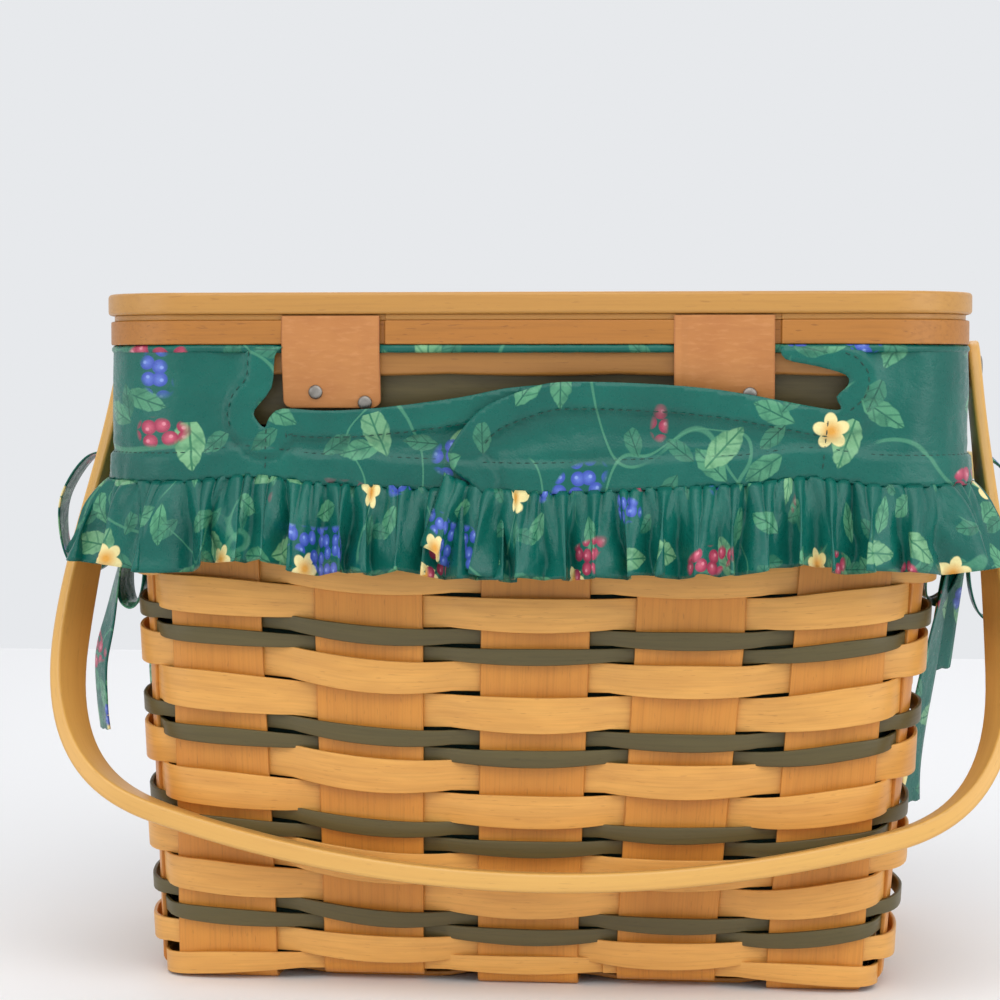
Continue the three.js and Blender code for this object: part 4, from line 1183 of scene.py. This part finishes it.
ruffle_depth, ruffle_fall, ruffle_rows = 29, 26.2, 21
for name, node, start, end, over_it, seed in (
        ("ruffle_left", "ruffle_front_left", -front_end, -2, 0, 3),
        ("ruffle_right", "ruffle_front_right", -24, front_end, 1, 7),
        ("ruffle_behind", "ruffle_back", back_start, back_end, 0, 11)):
    columns = round((end - start) / 0.6)
    phase = fine = flat_run = 0
    points, flat, last = [], [], None
    for k in range(columns + 1):
        q = start + (end - start) * k / columns
        step = 2 * math.pi * (end - start) / columns
        phase += step / (10.5 + 7.5 * noise.noise((q * 0.09, seed, 0)))
        fine += step / (4.4 + 2.6 * noise.noise((q * 0.15, seed, 5)))
        swell = 1 + 0.8 * noise.noise((q * 0.08, seed, 6))
        flare = 3.6 * math.exp(-((abs(q) - 138) / 12) ** 2)
        corner_up = 4.5 * math.exp(-((abs(q) - 152) / 16) ** 2)
        loose_end = math.exp(-(q - start) / 9) if over_it else 0
        column = []
        for j in range(ruffle_rows):
            t = j / (ruffle_rows - 1)
            open_up = t ** 0.65
            fold = puffed(phase + 1.3 * noise.noise((q * 0.08, t * 1.8, seed)))
            gather = puffed(fine + 1.2 * noise.noise((q * 0.2, t * 3, seed + 2)))
            puff = 2.3 * math.sin(math.pi * min(t * 2.2, 1) / 2)
            out = (8.6 + lapped(q) * over_it + puff + 4 * open_up * t ** 0.3
                   + flare * t + 5.2 * open_up * swell * fold + (1.1 * (1 - t) ** 1.2 + 0.1) * gather
                   + 0.7 * noise.noise((q * 0.12, t * 2.4, seed + 3)) * open_up)
            slide = 2.3 * open_up * swell * math.sin(phase + 2.5 * noise.noise((q * 0.05, 1, seed)))
            drift = 4 * t * noise.noise((q * 0.05, seed, 13)) - 9 * t * loose_end
            lift = (2.6 * t * noise.noise((q * 0.07, seed, 21)) + 0.8 * t * fold + corner_up * t
                    + loose_end * (5 * (1 - t) + 9 * t))
            hem = 0.3 if t > 0.86 else 0
            column.append(on_rim(q + slide + drift, seam_at(q) + 0.6 - ruffle_fall * t + lift, out + hem))
        if last:
            flat_run += math.dist(column[-1], last[-1])
        last = column
        points += column
        flat += [(flat_run + seed * 70, -ruffle_depth * j / (ruffle_rows - 1)) for j in range(ruffle_rows)]
    frill = surface(name, points, grid_faces(columns + 1, ruffle_rows), flat, 0.45)
    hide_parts(node)
    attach(frill, "basket")

# Stitching. Runs of dark green machine stitches hold the hems of the skirt panels down and
# its ruffles on.
thread_finish, tree, shader, where = bare_finish("green_thread", "Object")
twist = speckle(tree, where, (2600, 2600, 2600), 1)
tree.links.new(blend_colours(tree, twist.over(0.5, 0.3), linear(10, 44, 38), linear(30, 80, 68)),
               shader.inputs["Base Color"])
shader.inputs["Roughness"].default_value = 0.6

stitch_tree, given = tree_with("machine_stitches",
                               {"Stitch Pitch": 0.0026, "Stitch Length": 0.0019, "Thread": 0.0004})
tree = stitch_tree
seam_course = add(tree, "GeometryNodeMeshToCurve", Mesh=given.outputs["Geometry"]).outputs[0]
seam_course = add(tree, "GeometryNodeResampleCurve", {"mode": "LENGTH"}, Curve=seam_course,
                  Length=given.outputs["Stitch Pitch"]).outputs[0]
one_stitch = add(tree, "GeometryNodeMeshIcoSphere", Radius=0.5, Subdivisions=1).outputs[0]
facing = add(tree, "FunctionNodeAlignRotationToVector", {"axis": "X"},
             Vector=add(tree, "GeometryNodeInputTangent").outputs[0]).outputs[0]
thread = given.outputs["Thread"]
sewn = add(tree, "GeometryNodeInstanceOnPoints", Points=seam_course, Instance=one_stitch, Rotation=facing,
           Scale=arrow(tree, given.outputs["Stitch Length"], thread, thread)).outputs[0]
end_tree(tree, given, sewn)


def inside(line, distance):
    """A line moved sideways on the flat cloth."""
    moved = []
    for k, (x, y) in enumerate(line):
        a, b = line[max(k - 1, 0)], line[min(k + 1, len(line) - 1)]
        length = math.dist(a, b)
        moved.append((x + (b[1] - a[1]) / length * distance, y - (b[0] - a[0]) / length * distance))
    return moved


runs = [("hem_left", "panel_left", inside(left_hem[18:], hem_stitches)),
        ("hem_left_end", "panel_left", inside(left_hem[3:12], hem_stitches)),
        ("hem_right", "panel_right", inside(right_hem[12:38], hem_stitches)),
        ("hem_right_end", "panel_right", inside(right_hem[43:50], 6)),
        ("band_left", "panel_left", along_seam(2 - front_end, -24, seam_band, 30)),
        ("band_right", "panel_right", along_seam(-17, front_end - 2, seam_band, 30)),
        ("notch_left", "panel_left", [(-78.6, 171.4), (-79, 158.5)]),
        ("notch_right", "panel_right", [(89.5, 174), (87.8, 158.5)]),
        ("band_back", "panel_back", along_seam(back_start + 2, back_end - 2, seam_band, 30))]
for name, owner, run in runs:
    spots = [between(here, there, k / 5) for here, there in zip(run, run[1:]) for k in range(5)]
    out_at = hem_lines[owner][1]
    path = path_mesh(f"seam_{name}", [on_rim(q, z, out_at(q, z) + 0.32) for q, z in spots])
    stitches = shaped(f"stitches_{name}", path, stitch_tree, thread_finish)
    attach(stitches, "basket")

# Ties. At each end of the basket two ribbons of the same cotton come out under the skirt
# and are tied in a bow behind the handle's arm.
knot_at = (139, 14.5, 158)
ribbon_half = 6
knot_profile = [(0.3, -6), (3, -5.4), (4.6, -3), (4.9, 0), (4.6, 3), (3, 5.4), (0.3, 6)]
to_knot = ([(133, 9, 172), (135, 11, 166), (139, 13, 160)],
           [(133, 20, 172), (135, 18, 166), (139, 16, 160)])
from_knot = {
    "left": (
        [(148, 14, 162), (160, 16, 160), (169, 17, 148), (171, 18, 136), (168, 18, 124), (160, 18, 120),
         (150, 17, 130), (142, 15, 150), (139, 14, 157), (143, 18, 150), (151, 24, 128), (157, 28, 104),
         (161, 30, 88), (161, 31, 72), (160, 31, 63)],
        [(143, 22, 154), (148, 29, 138), (152, 31, 120), (151, 29, 110), (146, 26, 109), (142, 22, 118),
         (140, 17, 140), (139, 15, 157), (138, 17, 148), (138, 18, 128), (137.5, 19, 104), (138, 19, 84),
         (137, 19, 66)]),
    "right": (
        [(147, 14, 160), (154, 15, 150), (156, 17, 132), (152, 18, 114), (145, 18, 107), (140, 17, 118),
         (139, 15, 145), (139, 14, 157), (139, 18, 148), (136, 22, 128), (133, 26, 106), (131, 28, 88)],
        [(140, 21, 152), (139, 26, 136), (135, 28, 118), (128, 27, 112), (126, 23, 120), (131, 18, 140),
         (138, 15, 157), (137, 17, 146), (134, 18, 126), (129, 18, 100), (124, 18, 74), (121.5, 18, 56),
         (121, 18, 44)])}
for label, sign in (("left", -1), ("right", 1)):
    for number, route in enumerate(from_knot[label]):
        line = smooth_line(to_knot[number] + route, 9)
        rows = []
        for k, point in enumerate(line):
            course = (line[min(k + 1, len(line) - 1)] - line[max(k - 1, 0)]).normalized()
            side = (Vector((0, 1, 0)) - course * course.y).normalized()
            twist = 0.5 * noise.noise((k * 0.03, number * 5, sign * 3))
            twist += 0.6 * eased((k / len(line) - 0.66) / 0.2)
            side = side * math.cos(twist) + course.cross(side) * math.sin(twist)
            knot = min(math.dist(point, knot_at) / 11, 1)
            half = ribbon_half * (0.32 + 0.68 * eased(knot))
            pinch = 0.9 * (1 - knot) + 0.25
            row = []
            for step in range(-4, 5):
                share = step / 4
                spot = point + side * half * share
                row.append((sign * spot.x, spot.y, spot.z + pinch * math.sin(7 * share + k * 0.05)))
            rows.append(row)
        ribbon = sheet_of(f"ribbon_{label}_{number + 1}", rows, cloth_finish,
                          (number * 0.3 + sign * 0.7, 0.2))
        walled(ribbon, 0.5)
        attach(ribbon, "basket")
    knot = turned(f"knot_{label}", knot_profile, (sign * knot_at[0], knot_at[1], knot_at[2]), (0, 1, 0),
                  cloth_finish)
    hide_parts(f"tie_bow_{label}")
    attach(knot, "basket")
